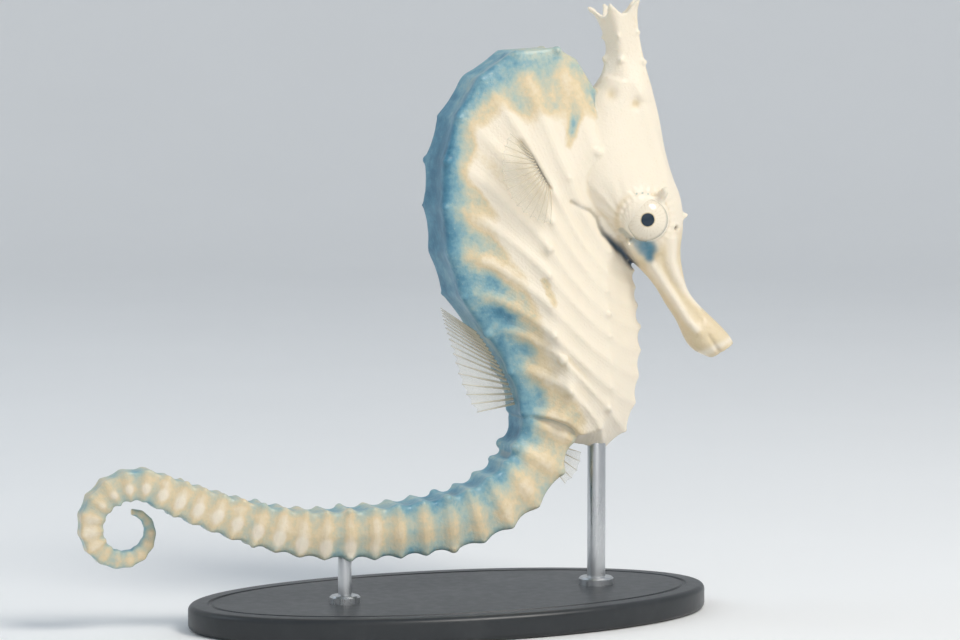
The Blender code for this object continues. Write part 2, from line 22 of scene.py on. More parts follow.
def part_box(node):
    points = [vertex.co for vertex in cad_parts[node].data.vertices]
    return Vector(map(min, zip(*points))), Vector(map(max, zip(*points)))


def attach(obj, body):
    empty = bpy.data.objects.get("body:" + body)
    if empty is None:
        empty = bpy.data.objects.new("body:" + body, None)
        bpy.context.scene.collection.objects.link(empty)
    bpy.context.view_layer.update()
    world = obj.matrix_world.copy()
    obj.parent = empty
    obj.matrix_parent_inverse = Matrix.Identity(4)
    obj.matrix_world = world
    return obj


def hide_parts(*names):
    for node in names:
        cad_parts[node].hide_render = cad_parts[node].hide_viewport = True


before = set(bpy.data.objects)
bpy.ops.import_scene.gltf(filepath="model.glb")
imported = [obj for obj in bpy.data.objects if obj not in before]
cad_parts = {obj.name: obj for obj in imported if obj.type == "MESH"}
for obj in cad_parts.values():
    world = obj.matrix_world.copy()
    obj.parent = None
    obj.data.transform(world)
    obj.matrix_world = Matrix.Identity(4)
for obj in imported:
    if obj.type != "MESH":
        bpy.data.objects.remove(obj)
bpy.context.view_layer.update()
LOG = logging.getLogger("seahorse")

MM = 0.001
Colour = tuple[float, float, float]
Array = np.ndarray


# ---- Measuring: lines, sections and the step into the frame ----
class Line:
    """A smooth line through points, read by its share of length or by point number."""

    SAMPLES = 1200

    def __init__(self, points: Sequence[Sequence[float]]) -> None:
        """Samples the line.

        Args:
            points: the places that the line passes through, in order.
        """
        self.points = np.asarray(points, float)
        places = np.linspace(0.0, len(self.points) - 1.0, self.SAMPLES)
        self.samples = self.at_place(places)
        steps = np.linalg.norm(np.diff(self.samples, axis=0), axis=1)
        self.lengths = np.concatenate([[0.0], np.cumsum(steps)])

    @property
    def length(self) -> float:
        """The whole length."""
        return float(self.lengths[-1])

    def at_place(self, place: Array | float) -> Array:
        """Reads the line by point number.

        Args:
            place: point numbers, counted from 0, which may lie between two points.

        Returns:
            One row for each place.
        """
        place = np.atleast_1d(np.asarray(place, float))
        last = len(self.points) - 1
        place = np.clip(place, 0.0, last)
        index = np.minimum(place.astype(int), last - 1)
        t = (place - index)[:, None]
        one, two, three, four = (self.points[np.clip(index + k, 0, last)] for k in (-1, 0, 1, 2))
        return 0.5 * (2 * two + (three - one) * t
                      + (2 * one - 5 * two + 4 * three - four) * t ** 2
                      + (3 * two - one - 3 * three + four) * t ** 3)

    def at(self, share: Array | float) -> Array:
        """Points at shares of the length, from 0 to 1, one row for each."""
        wanted = np.atleast_1d(np.clip(share, 0.0, 1.0)) * self.length
        columns = [np.interp(wanted, self.lengths, column) for column in self.samples.T]
        return np.stack(columns, axis=1)

    def heading(self, share: Array | float) -> Array:
        """Unit directions at shares of the length, one row for each."""
        small = 0.004
        share = np.atleast_1d(np.asarray(share, float))
        return unit(self.at(share + small) - self.at(share - small))


def unit(ways: Array) -> Array:
    """Directions brought to length 1."""
    return ways / np.linalg.norm(ways, axis=-1, keepdims=True)


def quarter_turned(ways: Array) -> Array:
    """Directions of the side plane, turned a quarter from forwards to upwards."""
    return np.stack([-ways[..., 1], ways[..., 0]], axis=-1)


def in_plane(points: Array, out: Array | float = 0.0) -> Array:
    """Points of the side plane as points of space, moved sideways by out."""
    side = np.broadcast_to(np.asarray(out, float), points.shape[:-1])
    return np.stack([points[..., 0], side, points[..., 1]], axis=-1)


def circle(sides: int) -> Array:
    """Angles of places spread evenly round a circle."""
    return np.linspace(0, 2 * math.pi, sides, endpoint=False)


def hermite(t: Array, start: Array, leave: Array, end: Array, arrive: Array) -> Array:
    """Places at shares t of a curve between two points, given its slopes at both."""
    return ((2 * t ** 3 - 3 * t ** 2 + 1) * start + (t ** 3 - 2 * t ** 2 + t) * leave
            + (3 * t ** 2 - 2 * t ** 3) * end + (t ** 3 - t ** 2) * arrive)


def near(distance: Array | float, reach: float, power: float = 2.0) -> Array:
    """A smooth bump: 1 at no distance, fading to 0 past the reach."""
    return np.exp(-np.abs(np.asarray(distance) / reach) ** power)


def eased(value: Array | float, low: float = 0.0, high: float = 1.0) -> Array:
    """0 below low, 1 above high and a soft S between them."""
    t = np.clip((np.asarray(value, float) - low) / (high - low), 0.0, 1.0)
    return t * t * (3 - 2 * t)


def gap_to(points: Array, place: Sequence[float]) -> Array:
    """How far each point lies from a place."""
    return np.linalg.norm(points - np.asarray(place), axis=1)


def turn_about(points: Array, place: Sequence[float]) -> Array:
    """Angle at which each point of the side plane lies round a place."""
    around = points - np.asarray(place)
    return np.arctan2(around[:, 1], around[:, 0])


def to_path(points: Array, path: Sequence[tuple[float, float]]) -> tuple[Array, Array]:
    """Distance from points to a bent path in the side plane.

    Args:
        points: one (x, z) row for each point.
        path: corners of the path.

    Returns:
        The distance, and the share of the path where the nearest place lies.
    """
    best = np.full(len(points), np.inf)
    share = np.zeros(len(points))
    corners = np.asarray(path, float)
    for k, (one, two) in enumerate(zip(corners, corners[1:])):
        run = two - one
        t = np.clip(((points - one) @ run) / (run @ run), 0.0, 1.0)
        gap = np.linalg.norm(points - one - t[:, None] * run, axis=1)
        closer = gap < best
        best = np.where(closer, gap, best)
        share = np.where(closer, (k + t) / (len(corners) - 1), share)
    return best, share


@dataclass(frozen=True)
class Bench:
    """Where the maker's millimetres lie in the frame."""

    rod_x: float = -0.4            # of the trunk's rod, in the maker's plane
    head_turn: float = 15.0        # degrees that the head looks to the animal's right
    head_pivot_x: float = -1.0

    @property
    def shift(self) -> float:
        """How far the frame's origin lies from the maker's, along x."""
        low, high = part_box("stand_rod_trunk")
        return (low[0] + high[0]) / 2 / MM - self.rod_x

    def metres(self, points: Array) -> Array:
        """Places in the frame, in metres, of points in the maker's millimetres."""
        return (np.asarray(points, float) + [self.shift, 0.0, 0.0]) * MM

    def swung(self, points: Array, degrees: float) -> Array:
        """Points turned about an upright line through the neck."""
        angle = math.radians(degrees)
        points = np.asarray(points, float)
        ahead = points[..., 0] - self.head_pivot_x
        x = self.head_pivot_x + ahead * math.cos(angle) - points[..., 1] * math.sin(angle)
        y = ahead * math.sin(angle) + points[..., 1] * math.cos(angle)
        return np.stack([x, y, points[..., 2]], axis=-1)

    def turned(self, points: Array) -> Array:
        """Points of the straight head, turned the way it looks."""
        return self.swung(points, -self.head_turn)

    def straightened(self, points: Array) -> Array:
        """The way back from turned."""
        return self.swung(points, self.head_turn)


BENCH = Bench()


class Region(Enum):
    """The parts of the body that the skin's colouring tells apart."""

    TRUNK = 0
    TAIL = 1
    HEAD = 2
    CROWN = 3


MARKS = ("along", "back", "ring", "cell", "region")


@dataclass
class Shell:
    """A closed surface of points in millimetres, with marks for the colouring."""

    points: Array
    faces: list[tuple[int, ...]]
    marks: dict[str, Array] = field(default_factory=dict)

    @classmethod
    def lofted(cls, rings: Array, closed: bool = True, **marks: Array | float) -> "Shell":
        """Skins rings of points, with a point over each end.

        Args:
            rings: points as (ring, side, xyz).
            closed: whether the two ends are closed.
            **marks: numbers that spread over (ring, side).

        Returns:
            The surface.
        """
        count, sides = rings.shape[:2]
        points = rings.reshape(-1, 3)
        values = {name: np.broadcast_to(np.asarray(mark, float), (count, sides)).reshape(-1)
                  for name, mark in marks.items()}
        faces: list[tuple[int, ...]] = []
        for ring in range(count - 1):
            for side in range(sides):
                onward = (side + 1) % sides
                first, second = ring * sides, (ring + 1) * sides
                faces.append((first + side, first + onward, second + onward, second + side))
        if closed:
            middles = [rings[0].mean(axis=0), rings[-1].mean(axis=0)]
            points = np.concatenate([points, middles])
            for name, value in values.items():
                grid = value.reshape(count, sides)
                values[name] = np.concatenate([value, [grid[0].mean(), grid[-1].mean()]])
            start, end = count * sides, count * sides + 1
            last = (count - 1) * sides
            for side in range(sides):
                onward = (side + 1) % sides
                faces.append((onward, side, start))
                faces.append((last + side, last + onward, end))
        return cls(points, faces, values)

    def marked(self, **marks: float) -> "Shell":
        """The same surface with each named mark set all over it."""
        for name, value in marks.items():
            self.marks[name] = np.full(len(self.points), float(value))
        return self


def joined(shells: Sequence[Shell]) -> Shell:
    """Several surfaces as one list of points and faces."""
    points, faces, offset = [], [], 0
    marks: dict[str, list[Array]] = {name: [] for name in MARKS}
    for shell in shells:
        points.append(shell.points)
        faces += [tuple(corner + offset for corner in face) for face in shell.faces]
        for name in MARKS:
            marks[name].append(shell.marks.get(name, np.zeros(len(shell.points))))
        offset += len(shell.points)
    return Shell(np.concatenate(points), faces,
                 {name: np.concatenate(parts) for name, parts in marks.items()})


def ball(centre: Sequence[float], radii: Sequence[float], turns: int = 40) -> Shell:
    """A ball or egg with its long axes along x, y and z."""
    rings, angle = [], circle(turns)
    for step in range(1, turns // 2):
        polar = 2 * math.pi * step / turns
        ring = np.stack([np.cos(angle) * math.sin(polar), np.full(turns, -math.cos(polar)),
                         np.sin(angle) * math.sin(polar)], axis=1)
        rings.append(ring * radii + centre)
    shell = Shell.lofted(np.array(rings))
    shell.points[-2] = np.asarray(centre) - [0.0, radii[1], 0.0]
    shell.points[-1] = np.asarray(centre) + [0.0, radii[1], 0.0]
    return shell


def tube(points: Array, radii: Array, sides: int = 12) -> Shell:
    """A round tube with soft ends along points."""
    points = np.asarray(points, float)
    rings, angle = [], circle(sides)[:, None]
    for place, way, radius in zip(points, unit(np.gradient(points, axis=0)), radii):
        helper = np.array([0.0, 1.0, 0.0]) if abs(way[1]) < 0.8 else np.array([1.0, 0.0, 0.0])
        one = unit(np.cross(way, helper))
        two = np.cross(way, one)
        rings.append(place + radius * (np.cos(angle) * one + np.sin(angle) * two))
    return Shell.lofted(np.array(rings))


def oval_rings(rows: Sequence[tuple[float, float, float]], sides: int,
               middle: Sequence[float] = (0.0, 0.0)) -> Array:
    """Level rings of points, for rows of half widths along x and y and height."""
    angle = circle(sides)
    return np.array([np.stack([middle[0] + wide * np.cos(angle), middle[1] + deep * np.sin(angle),
                               np.full(sides, height)], axis=1) for wide, deep, height in rows])


# ---- Blender objects ----
def linked(name: str, data: bpy.types.ID) -> bpy.types.Object:
    """A new object of the data, put in the scene."""
    obj = bpy.data.objects.new(name, data)
    bpy.context.scene.collection.objects.link(obj)
    return obj


def keep(mesh: bpy.types.Mesh, marks: Mapping[str, Array]) -> None:
    """Keeps numbers on a mesh's points under their names."""
    for name, value in marks.items():
        layer = mesh.attributes.new(name, "FLOAT", "POINT")
        layer.data.foreach_set("value", value.astype(np.float32))


def new_object(name: str, shell: Shell, in_metres: bool = False) -> bpy.types.Object:
    """Makes a mesh object of a surface, at the origin, with its marks as attributes.

    Args:
        name: the object's name.
        shell: the surface.
        in_metres: whether its points are already in the frame's metres.

    Returns:
        The object, linked to the scene.
    """
    points = shell.points if in_metres else BENCH.metres(shell.points)
    mesh = bpy.data.meshes.new(name)
    mesh.from_pydata(points.tolist(), [], shell.faces)
    keep(mesh, shell.marks)
    mesh.update()
    obj = linked(name, mesh)
    face_outwards(obj)
    mesh.shade_smooth()
    return obj


def face_outwards(obj: bpy.types.Object) -> None:
    """Turns a closed mesh's faces outwards."""
    body = bmesh.new()
    body.from_mesh(obj.data)
    bmesh.ops.recalc_face_normals(body, faces=body.faces)
    body.to_mesh(obj.data)
    body.free()


def merged(body: bpy.types.Object, other: bpy.types.Object) -> None:
    """Joins a second mesh object into the first."""
    with bpy.context.temp_override(active_object=body, object=body,
                                   selected_editable_objects=[body, other]):
        bpy.ops.object.join()


def settled(obj: bpy.types.Object) -> bpy.types.Object:
    """Swaps an object's mesh for its evaluated one and clears its modifiers."""
    shape = obj.evaluated_get(bpy.context.evaluated_depsgraph_get())
    mesh = bpy.data.meshes.new_from_object(shape)
    obj.modifiers.clear()
    old = obj.data
    obj.data = mesh
    mesh.name = obj.name
    bpy.data.meshes.remove(old)
    return obj


def mesh_arrays(mesh: bpy.types.Mesh) -> tuple[Array, Array]:
    """A mesh's points and edges as arrays."""
    points = np.empty(len(mesh.vertices) * 3)
    mesh.vertices.foreach_get("co", points)
    edges = np.empty(len(mesh.edges) * 2, int)
    mesh.edges.foreach_get("vertices", edges)
    return points.reshape(-1, 3), edges.reshape(-1, 2)


def averaged(values: Array, edges: Array, times: int, share: float = 0.5) -> Array:
    """Values eased towards those of their neighbours.

    Args:
        values: one row or number for each point.
        edges: pairs of neighbouring points.
        times: how often they are eased.
        share: how far each goes towards its neighbours.

    Returns:
        The eased values.
    """
    flat = values.ndim == 1
    rows = values[:, None].copy() if flat else values.copy()
    size = len(rows)
    degree = np.bincount(edges.ravel(), minlength=size).clip(1)[:, None]
    for _ in range(times):
        total = np.empty_like(rows)
        for column in range(rows.shape[1]):
            one = np.bincount(edges[:, 0], rows[edges[:, 1], column], size)
            two = np.bincount(edges[:, 1], rows[edges[:, 0], column], size)
            total[:, column] = one + two
        rows += share * (total / degree - rows)
    return rows[:, 0] if flat else rows


def aimed(obj: bpy.types.Object, aim: Vector) -> None:
    """Turns a light or camera towards a place."""
    obj.rotation_euler = (aim - obj.location).to_track_quat("-Z", "Y").to_euler()


def dress(obj: bpy.types.Object, material: bpy.types.Material) -> None:
    """Gives a piece its only material."""
    obj.data.materials.clear()
    obj.data.materials.append(material)


def stand_for(obj: bpy.types.Object, slot: str, *nodes: str) -> None:
    """Hangs a finished piece on the body and says which nodes it stands for."""
    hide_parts(*nodes)
    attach(obj, "root")
    LOG.info("%s: %d faces, stands for %s", obj.name, len(obj.data.polygons), ", ".join(nodes))


# ---- Shader desk ----
class Value:
    """A shader socket used in sums: each operator adds a Math node."""

    def __init__(self, desk: "Desk", socket: bpy.types.NodeSocket) -> None:
        """Wraps a socket of the desk's material."""
        self.desk, self.socket = desk, socket

    def __add__(self, other: Any) -> "Value":
        """Sum."""
        return self.desk.maths("ADD", self, other)

    def __sub__(self, other: Any) -> "Value":
        """Difference."""
        return self.desk.maths("SUBTRACT", self, other)

    def __mul__(self, other: Any) -> "Value":
        """Product."""
        return self.desk.maths("MULTIPLY", self, other)

    __radd__ = __add__
    __rmul__ = __mul__

    def __rsub__(self, other: Any) -> "Value":
        """Reflected difference."""
        return self.desk.maths("SUBTRACT", other, self)

    def above(self, low: float, high: float) -> "Value":
        """0 below low, 1 above high and soft between them."""
        node = self.desk.node("ShaderNodeMapRange", {"interpolation_type": "SMOOTHSTEP"},
                              {"Value": self, "From Min": low, "From Max": high})
        return Value(self.desk, node.outputs["Result"])

    def below(self, low: float, high: float) -> "Value":
        """1 below low, 0 above high and soft between them."""
        return 1 - self.above(low, high)

    def waved(self) -> "Value":
        """Its sine."""
        return self.desk.maths("SINE", self, 0.0)


class Nodes:
    """A node tree under construction."""

    tree: bpy.types.NodeTree

    def node(self, kind: str, settings: Mapping[str, Any] | None = None,
             inputs: Mapping[str | int, Any] | None = None) -> bpy.types.Node:
        """Adds one node.

        Args:
            kind: the node's type.
            settings: properties, set first; stops fills a colour ramp.
            inputs: numbers, colours, sockets or Values by socket name or number.

        Returns:
            The node.
        """
        node = self.tree.nodes.new(kind)
        for name, value in (settings or {}).items():
            if name == "stops":
                self.fill_ramp(node.color_ramp, value)
            else:
                setattr(node, name, value)
        for name, value in (inputs or {}).items():
            entry, value = node.inputs[name], getattr(value, "socket", value)
            if isinstance(value, bpy.types.NodeSocket):
                self.tree.links.new(value, entry)
            else:
                entry.default_value = (*value, 1.0) if entry.type == "RGBA" else value
        return node

    @staticmethod
    def fill_ramp(ramp: bpy.types.ColorRamp, stops: Sequence[tuple[float, Colour]]) -> None:
        """Sets a ramp's stops."""
        while len(ramp.elements) < len(stops):
            ramp.elements.new(0.5)
        for element, (place, colour) in zip(ramp.elements, stops):
            element.position = place
            element.color = (*colour, 1.0)


class Desk(Nodes):
    """A material under construction."""

    def __init__(self, name: str) -> None:
        """Starts an empty material."""
        self.material = bpy.data.materials.new(name)
        self.material.use_nodes = True
        self.tree = self.material.node_tree
        self.tree.nodes.clear()

    def maths(self, operation: str, one: Any, two: Any) -> Value:
        """A Math node on two values."""
        node = self.node("ShaderNodeMath", {"operation": operation}, {0: one, 1: two})
        return Value(self, node.outputs[0])

    def mark(self, name: str) -> Value:
        """A number kept at each point of the mesh."""
        node = self.node("ShaderNodeAttribute", {"attribute_name": name})
        return Value(self, node.outputs["Fac"])

    def places(self, scale: Colour = (1.0, 1.0, 1.0)) -> Value:
        """Object coordinates, stretched per axis."""
        source = self.node("ShaderNodeTexCoord").outputs["Object"]
        if scale == (1.0, 1.0, 1.0):
            return Value(self, source)
        node = self.node("ShaderNodeMapping", None, {"Vector": source, "Scale": scale})
        return Value(self, node.outputs["Vector"])

    def cloud(self, size_mm: float, detail: float = 3.0, rough: float = 0.55,
              places: Value | None = None) -> Value:
        """Soft noise whose blotches are about size_mm across."""
        node = self.node("ShaderNodeTexNoise", None,
                         {"Vector": places or self.places(), "Scale": 1 / (size_mm * MM),
                          "Detail": detail, "Roughness": rough})
        return Value(self, node.outputs["Fac"])

    def cells(self, size_mm: float) -> Value:
        """Distance to the nearest of scattered points about size_mm apart."""
        node = self.node("ShaderNodeTexVoronoi", None,
                         {"Vector": self.places(), "Scale": 1 / (size_mm * MM)})
        return Value(self, node.outputs["Distance"])

    def mix(self, share: Value | float, one: Any, two: Any) -> Value:
        """Colour between one and two."""
        node = self.node("ShaderNodeMix", {"data_type": "RGBA", "clamp_factor": True},
                         {0: share, 6: one, 7: two})
        return Value(self, node.outputs[2])

    def relief(self, height: Value, depth_mm: float, under: Value | None = None) -> Value:
        """Bumps whose height runs from 0 to depth_mm."""
        inputs = {"Height": height, "Distance": depth_mm * MM, "Strength": 1.0}
        if under is not None:
            inputs["Normal"] = under
        return Value(self, self.node("ShaderNodeBump", None, inputs).outputs["Normal"])

    def surface(self, colour: Any, roughness: Any, **sockets: Any) -> bpy.types.Material:
        """Ends the material in a Principled surface.

        Args:
            colour: base colour.
            roughness: roughness.
            **sockets: other sockets, with _ for a space in the name.

        Returns:
            The finished material.
        """
        inputs = {name.replace("_", " "): value for name, value in sockets.items()}
        shader = self.node("ShaderNodeBsdfPrincipled", None,
                           {"Base Color": colour, "Roughness": roughness, **inputs})
        out = self.node("ShaderNodeOutputMaterial")
        self.tree.links.new(shader.outputs["BSDF"], out.inputs["Surface"])
        return self.material


# ---- The body's forms ----
Profile = tuple[tuple[float, float, float], ...]


class RidgedLoop:
    """A closed section with ridges: depth from back (-1) to belly (+1), width and ridge share."""

    def __init__(self, profile: Profile, samples: int, crisp: float = 0.55) -> None:
        """Rounds one side of a section into a closed loop.

        Args:
            profile: depth, width and ridge share of the corners from back to belly.
            samples: points between two corners.
            crisp: bend of the curve at a ridge, from 0, an edge, to 1, round.
        """
        right = [(depth, -width, share) for depth, width, share in profile]
        left = [(depth, width, share) for depth, width, share in reversed(profile[1:-1])]
        corners = np.array(right + left)
        bend = np.where(corners[:, 2] > 0.5, crisp, 1.0)[:, None]
        slope = 0.5 * bend * (np.roll(corners, -1, 0) - np.roll(corners, 1, 0))[:, :2]
        t = np.linspace(0, 1, samples, endpoint=False)[None, :, None]
        one, two = corners[:, None, :2], np.roll(corners, -1, 0)[:, None, :2]
        m_one, m_two = slope[:, None], np.roll(slope, -1, 0)[:, None]
        self.flat = hermite(t, one, m_one, two, m_two).reshape(-1, 2)
        share, t = corners[:, 2:], t[..., 0]
        share = share * (1 - t) + np.roll(share, -1, 0) * t
        self.ridge = eased(share.reshape(-1), 0.35, 1.0)
        self.sides = len(self.flat)
        self.crossing = np.flatnonzero(self.ridge > 0.999)


def ring_crest(ring: Array, sharp: float) -> Array:
    """1 on a ring and 0 halfway between two, narrower when sharp is above 1."""
    return (0.5 + 0.5 * np.cos(2 * math.pi * np.asarray(ring))) ** sharp


@dataclass
class TrunkForm:
    """Eleven bony rings with seven ridges, fanned round the bent neck."""

    back_line: tuple = ((-2.0, 65.2), (-4.2, 66.8), (-7.8, 68.0), (-12.2, 67.6), (-16.7, 64.7),
                        (-19.8, 60.1), (-21.5, 54.7), (-21.7, 49.0), (-20.8, 42.7),
                        (-18.6, 37.3), (-14.9, 32.6), (-12.2, 28.2), (-10.9, 24.1))
    belly_line: tuple = ((3.8, 43.3), (4.3, 40.1), (4.8, 35.7), (5.1, 31.0), (4.5, 25.4),
                         (3.1, 21.7), (0.0, 19.6), (-3.5, 20.6))
    half_widths: tuple = (3.6, 4.7, 5.3, 5.8, 6.1, 6.0, 5.2, 4.2)
    profile: Profile = ((-0.94, 0.00, 0.0), (-0.93, 0.58, 1.0), (-0.52, 0.82, 0.0),
                        (-0.04, 0.96, 1.0), (0.30, 0.86, 0.0), (0.60, 0.70, 1.0),
                        (0.84, 0.36, 0.0), (0.98, 0.00, 1.0))
    rings: int = 11
    belly_spread: float = 1.45
    tubercle: float = 0.34
    ridge: float = 0.20            # height of a ridge between the rings
    bar: float = 0.25              # height of a ring between the ridges
    # Hollows between rings and ridges: depth share, reach and depth in millimetres.
    cells: tuple = ((-0.62, 0.17, 0.46), (-0.30, 0.24, 0.16), (0.30, 0.20, 0.24),
                    (0.82, 0.10, 0.16))
    ring_bend: float = 0.75        # how squarely the rings leave the back and belly
    first_ring: float = 0.5
    bent_ring: float = 2.5         # from here on the rings have their full bend
    knob_lift: float = 0.30
    knob_size: float = 0.62        # radius of a knob near the back
    plug: tuple = ((0.6, 60.0), (2.4, 47.0), 2.2)   # back, belly and half width in the head
    plug_steps: int = 8
    steps: int = 18                # sections for each ring
    samples: int = 9

    def __post_init__(self) -> None:
        """Makes the lines and the section."""
        self.back = Line(self.back_line)
        self.belly = Line(self.belly_line)
        self.widths = Line([(k, width) for k, width in enumerate(self.half_widths)])
        self.loop = RidgedLoop(self.profile, self.samples)

    def ends(self, ring: Array) -> tuple[Array, Array, Array]:
        """Back points, belly points and half widths at ring numbers."""
        share = np.atleast_1d(ring) / self.rings
        width = self.widths.at_place(share * (len(self.half_widths) - 1))[:, 1]
        return self.back.at(share), self.belly.at(share ** self.belly_spread), width

    def relief(self, ring: Array) -> Array:
        """How far the surface stands out, one row for each ring number."""
        crest = ring_crest(ring, 1.5)[:, None]
        bar = ring_crest(ring, 5.0)[:, None]
        depth = self.loop.flat[:, 0][None]
        out = (self.tubercle * crest + self.ridge) * self.loop.ridge[None]
        bar = bar * (0.6 + 0.4 * near(depth + 0.7, 0.4))        # highest beside the back
        out = out + self.bar * bar * (1 - self.loop.ridge[None])
        for place, reach, deep in self.cells:
            out = out - deep * near(depth - place, reach) * (1 - crest)
        return out

    def sections(self, back: Array, belly: Array, width: Array, relief: Array,
                 ring: Array, bend: Array) -> Array:
        """Rings of points between back and belly points.

        Args:
            back: one point of the back for each ring.
            belly: one point of the belly for each ring.
            width: half widths.
            relief: how far each point of each ring stands out.
            ring: ring numbers.
            bend: how squarely each ring leaves the back and belly, from 0 to 1.

        Returns:
            Points as (ring, side, xyz).
        """
        span = belly - back
        reach = np.linalg.norm(span, axis=1, keepdims=True) / 2
        share = ring / self.rings
        flat = self.loop.flat[None] * np.stack([reach[:, 0], width], axis=1)[:, None]
        flat = flat * (1 + relief / np.linalg.norm(flat, axis=2))[..., None]
        t = (flat[..., :1] / reach[:, None] + 1) / 2
        leave = self.squared(span, self.back.heading(share), bend)
        arrive = self.squared(span, self.belly.heading(share ** self.belly_spread), bend)
        place = hermite(t, back[:, None], leave[:, None], belly[:, None], arrive[:, None])
        return in_plane(place, flat[..., 1])

    @staticmethod
    def squared(span: Array, heading: Array, bend: Array) -> Array:
        """Spans turned towards the square of a heading, by a share, at their full length."""
        square = span - np.einsum("ij,ij->i", span, heading)[:, None] * heading
        square = unit(square) * np.linalg.norm(span, axis=1, keepdims=True)
        return span * (1 - bend[:, None]) + square * bend[:, None]

    def shell(self) -> Shell:
        """The trunk's surface, with a plug that reaches into the head."""
        ring = np.linspace(self.first_ring, self.rings,
                           int((self.rings - self.first_ring) * self.steps) + 1)
        back, belly, width = self.ends(ring)
        lead = np.linspace(0, 1, self.plug_steps, endpoint=False)[:, None]
        plug_back, plug_belly, plug_width = self.plug
        back = np.concatenate([plug_back + lead * (back[0] - plug_back), back])
        belly = np.concatenate([plug_belly + lead * (belly[0] - plug_belly), belly])
        width = np.concatenate([plug_width + lead[:, 0] * (width[0] - plug_width), width])
        ring = np.concatenate([np.full(len(lead), self.first_ring), ring])
        bend = self.ring_bend * eased(ring, self.first_ring, self.bent_ring)
        rings = self.sections(back, belly, width, self.relief(ring), ring, bend)
        reach = np.linalg.norm(belly - back, axis=1)[:, None] / 2
        depth, ring = self.loop.flat[:, 0][None], ring[:, None]
        cell, cell_reach, _ = self.cells[0]
        return Shell.lofted(rings, along=ring, back=(depth - self.profile[0][0]) * reach,
                            ring=ring_crest(ring, 2.0), region=Region.TRUNK.value,
                            cell=near(depth - cell, cell_reach) * (1 - ring_crest(ring, 0.8)))

    def knobs(self) -> tuple[Array, Array]:
        """Places and radii of the small knobs where a ring crosses a ridge."""
        ring = np.arange(1.0, self.rings)
        bend = self.ring_bend * eased(ring, self.first_ring, self.bent_ring)
        relief = np.full((len(ring), self.loop.sides), self.knob_lift)
        rings = self.sections(*self.ends(ring), relief, ring, bend)
        size = self.knob_size - 0.16 * eased(self.loop.flat[self.loop.crossing, 0], -0.2, 0.8)
        size = size[None] * (0.75 + 0.25 * np.cos(2 * math.pi * (ring[:, None] - 1) / 4))
        return rings[:, self.loop.crossing].reshape(-1, 3), size.reshape(-1)


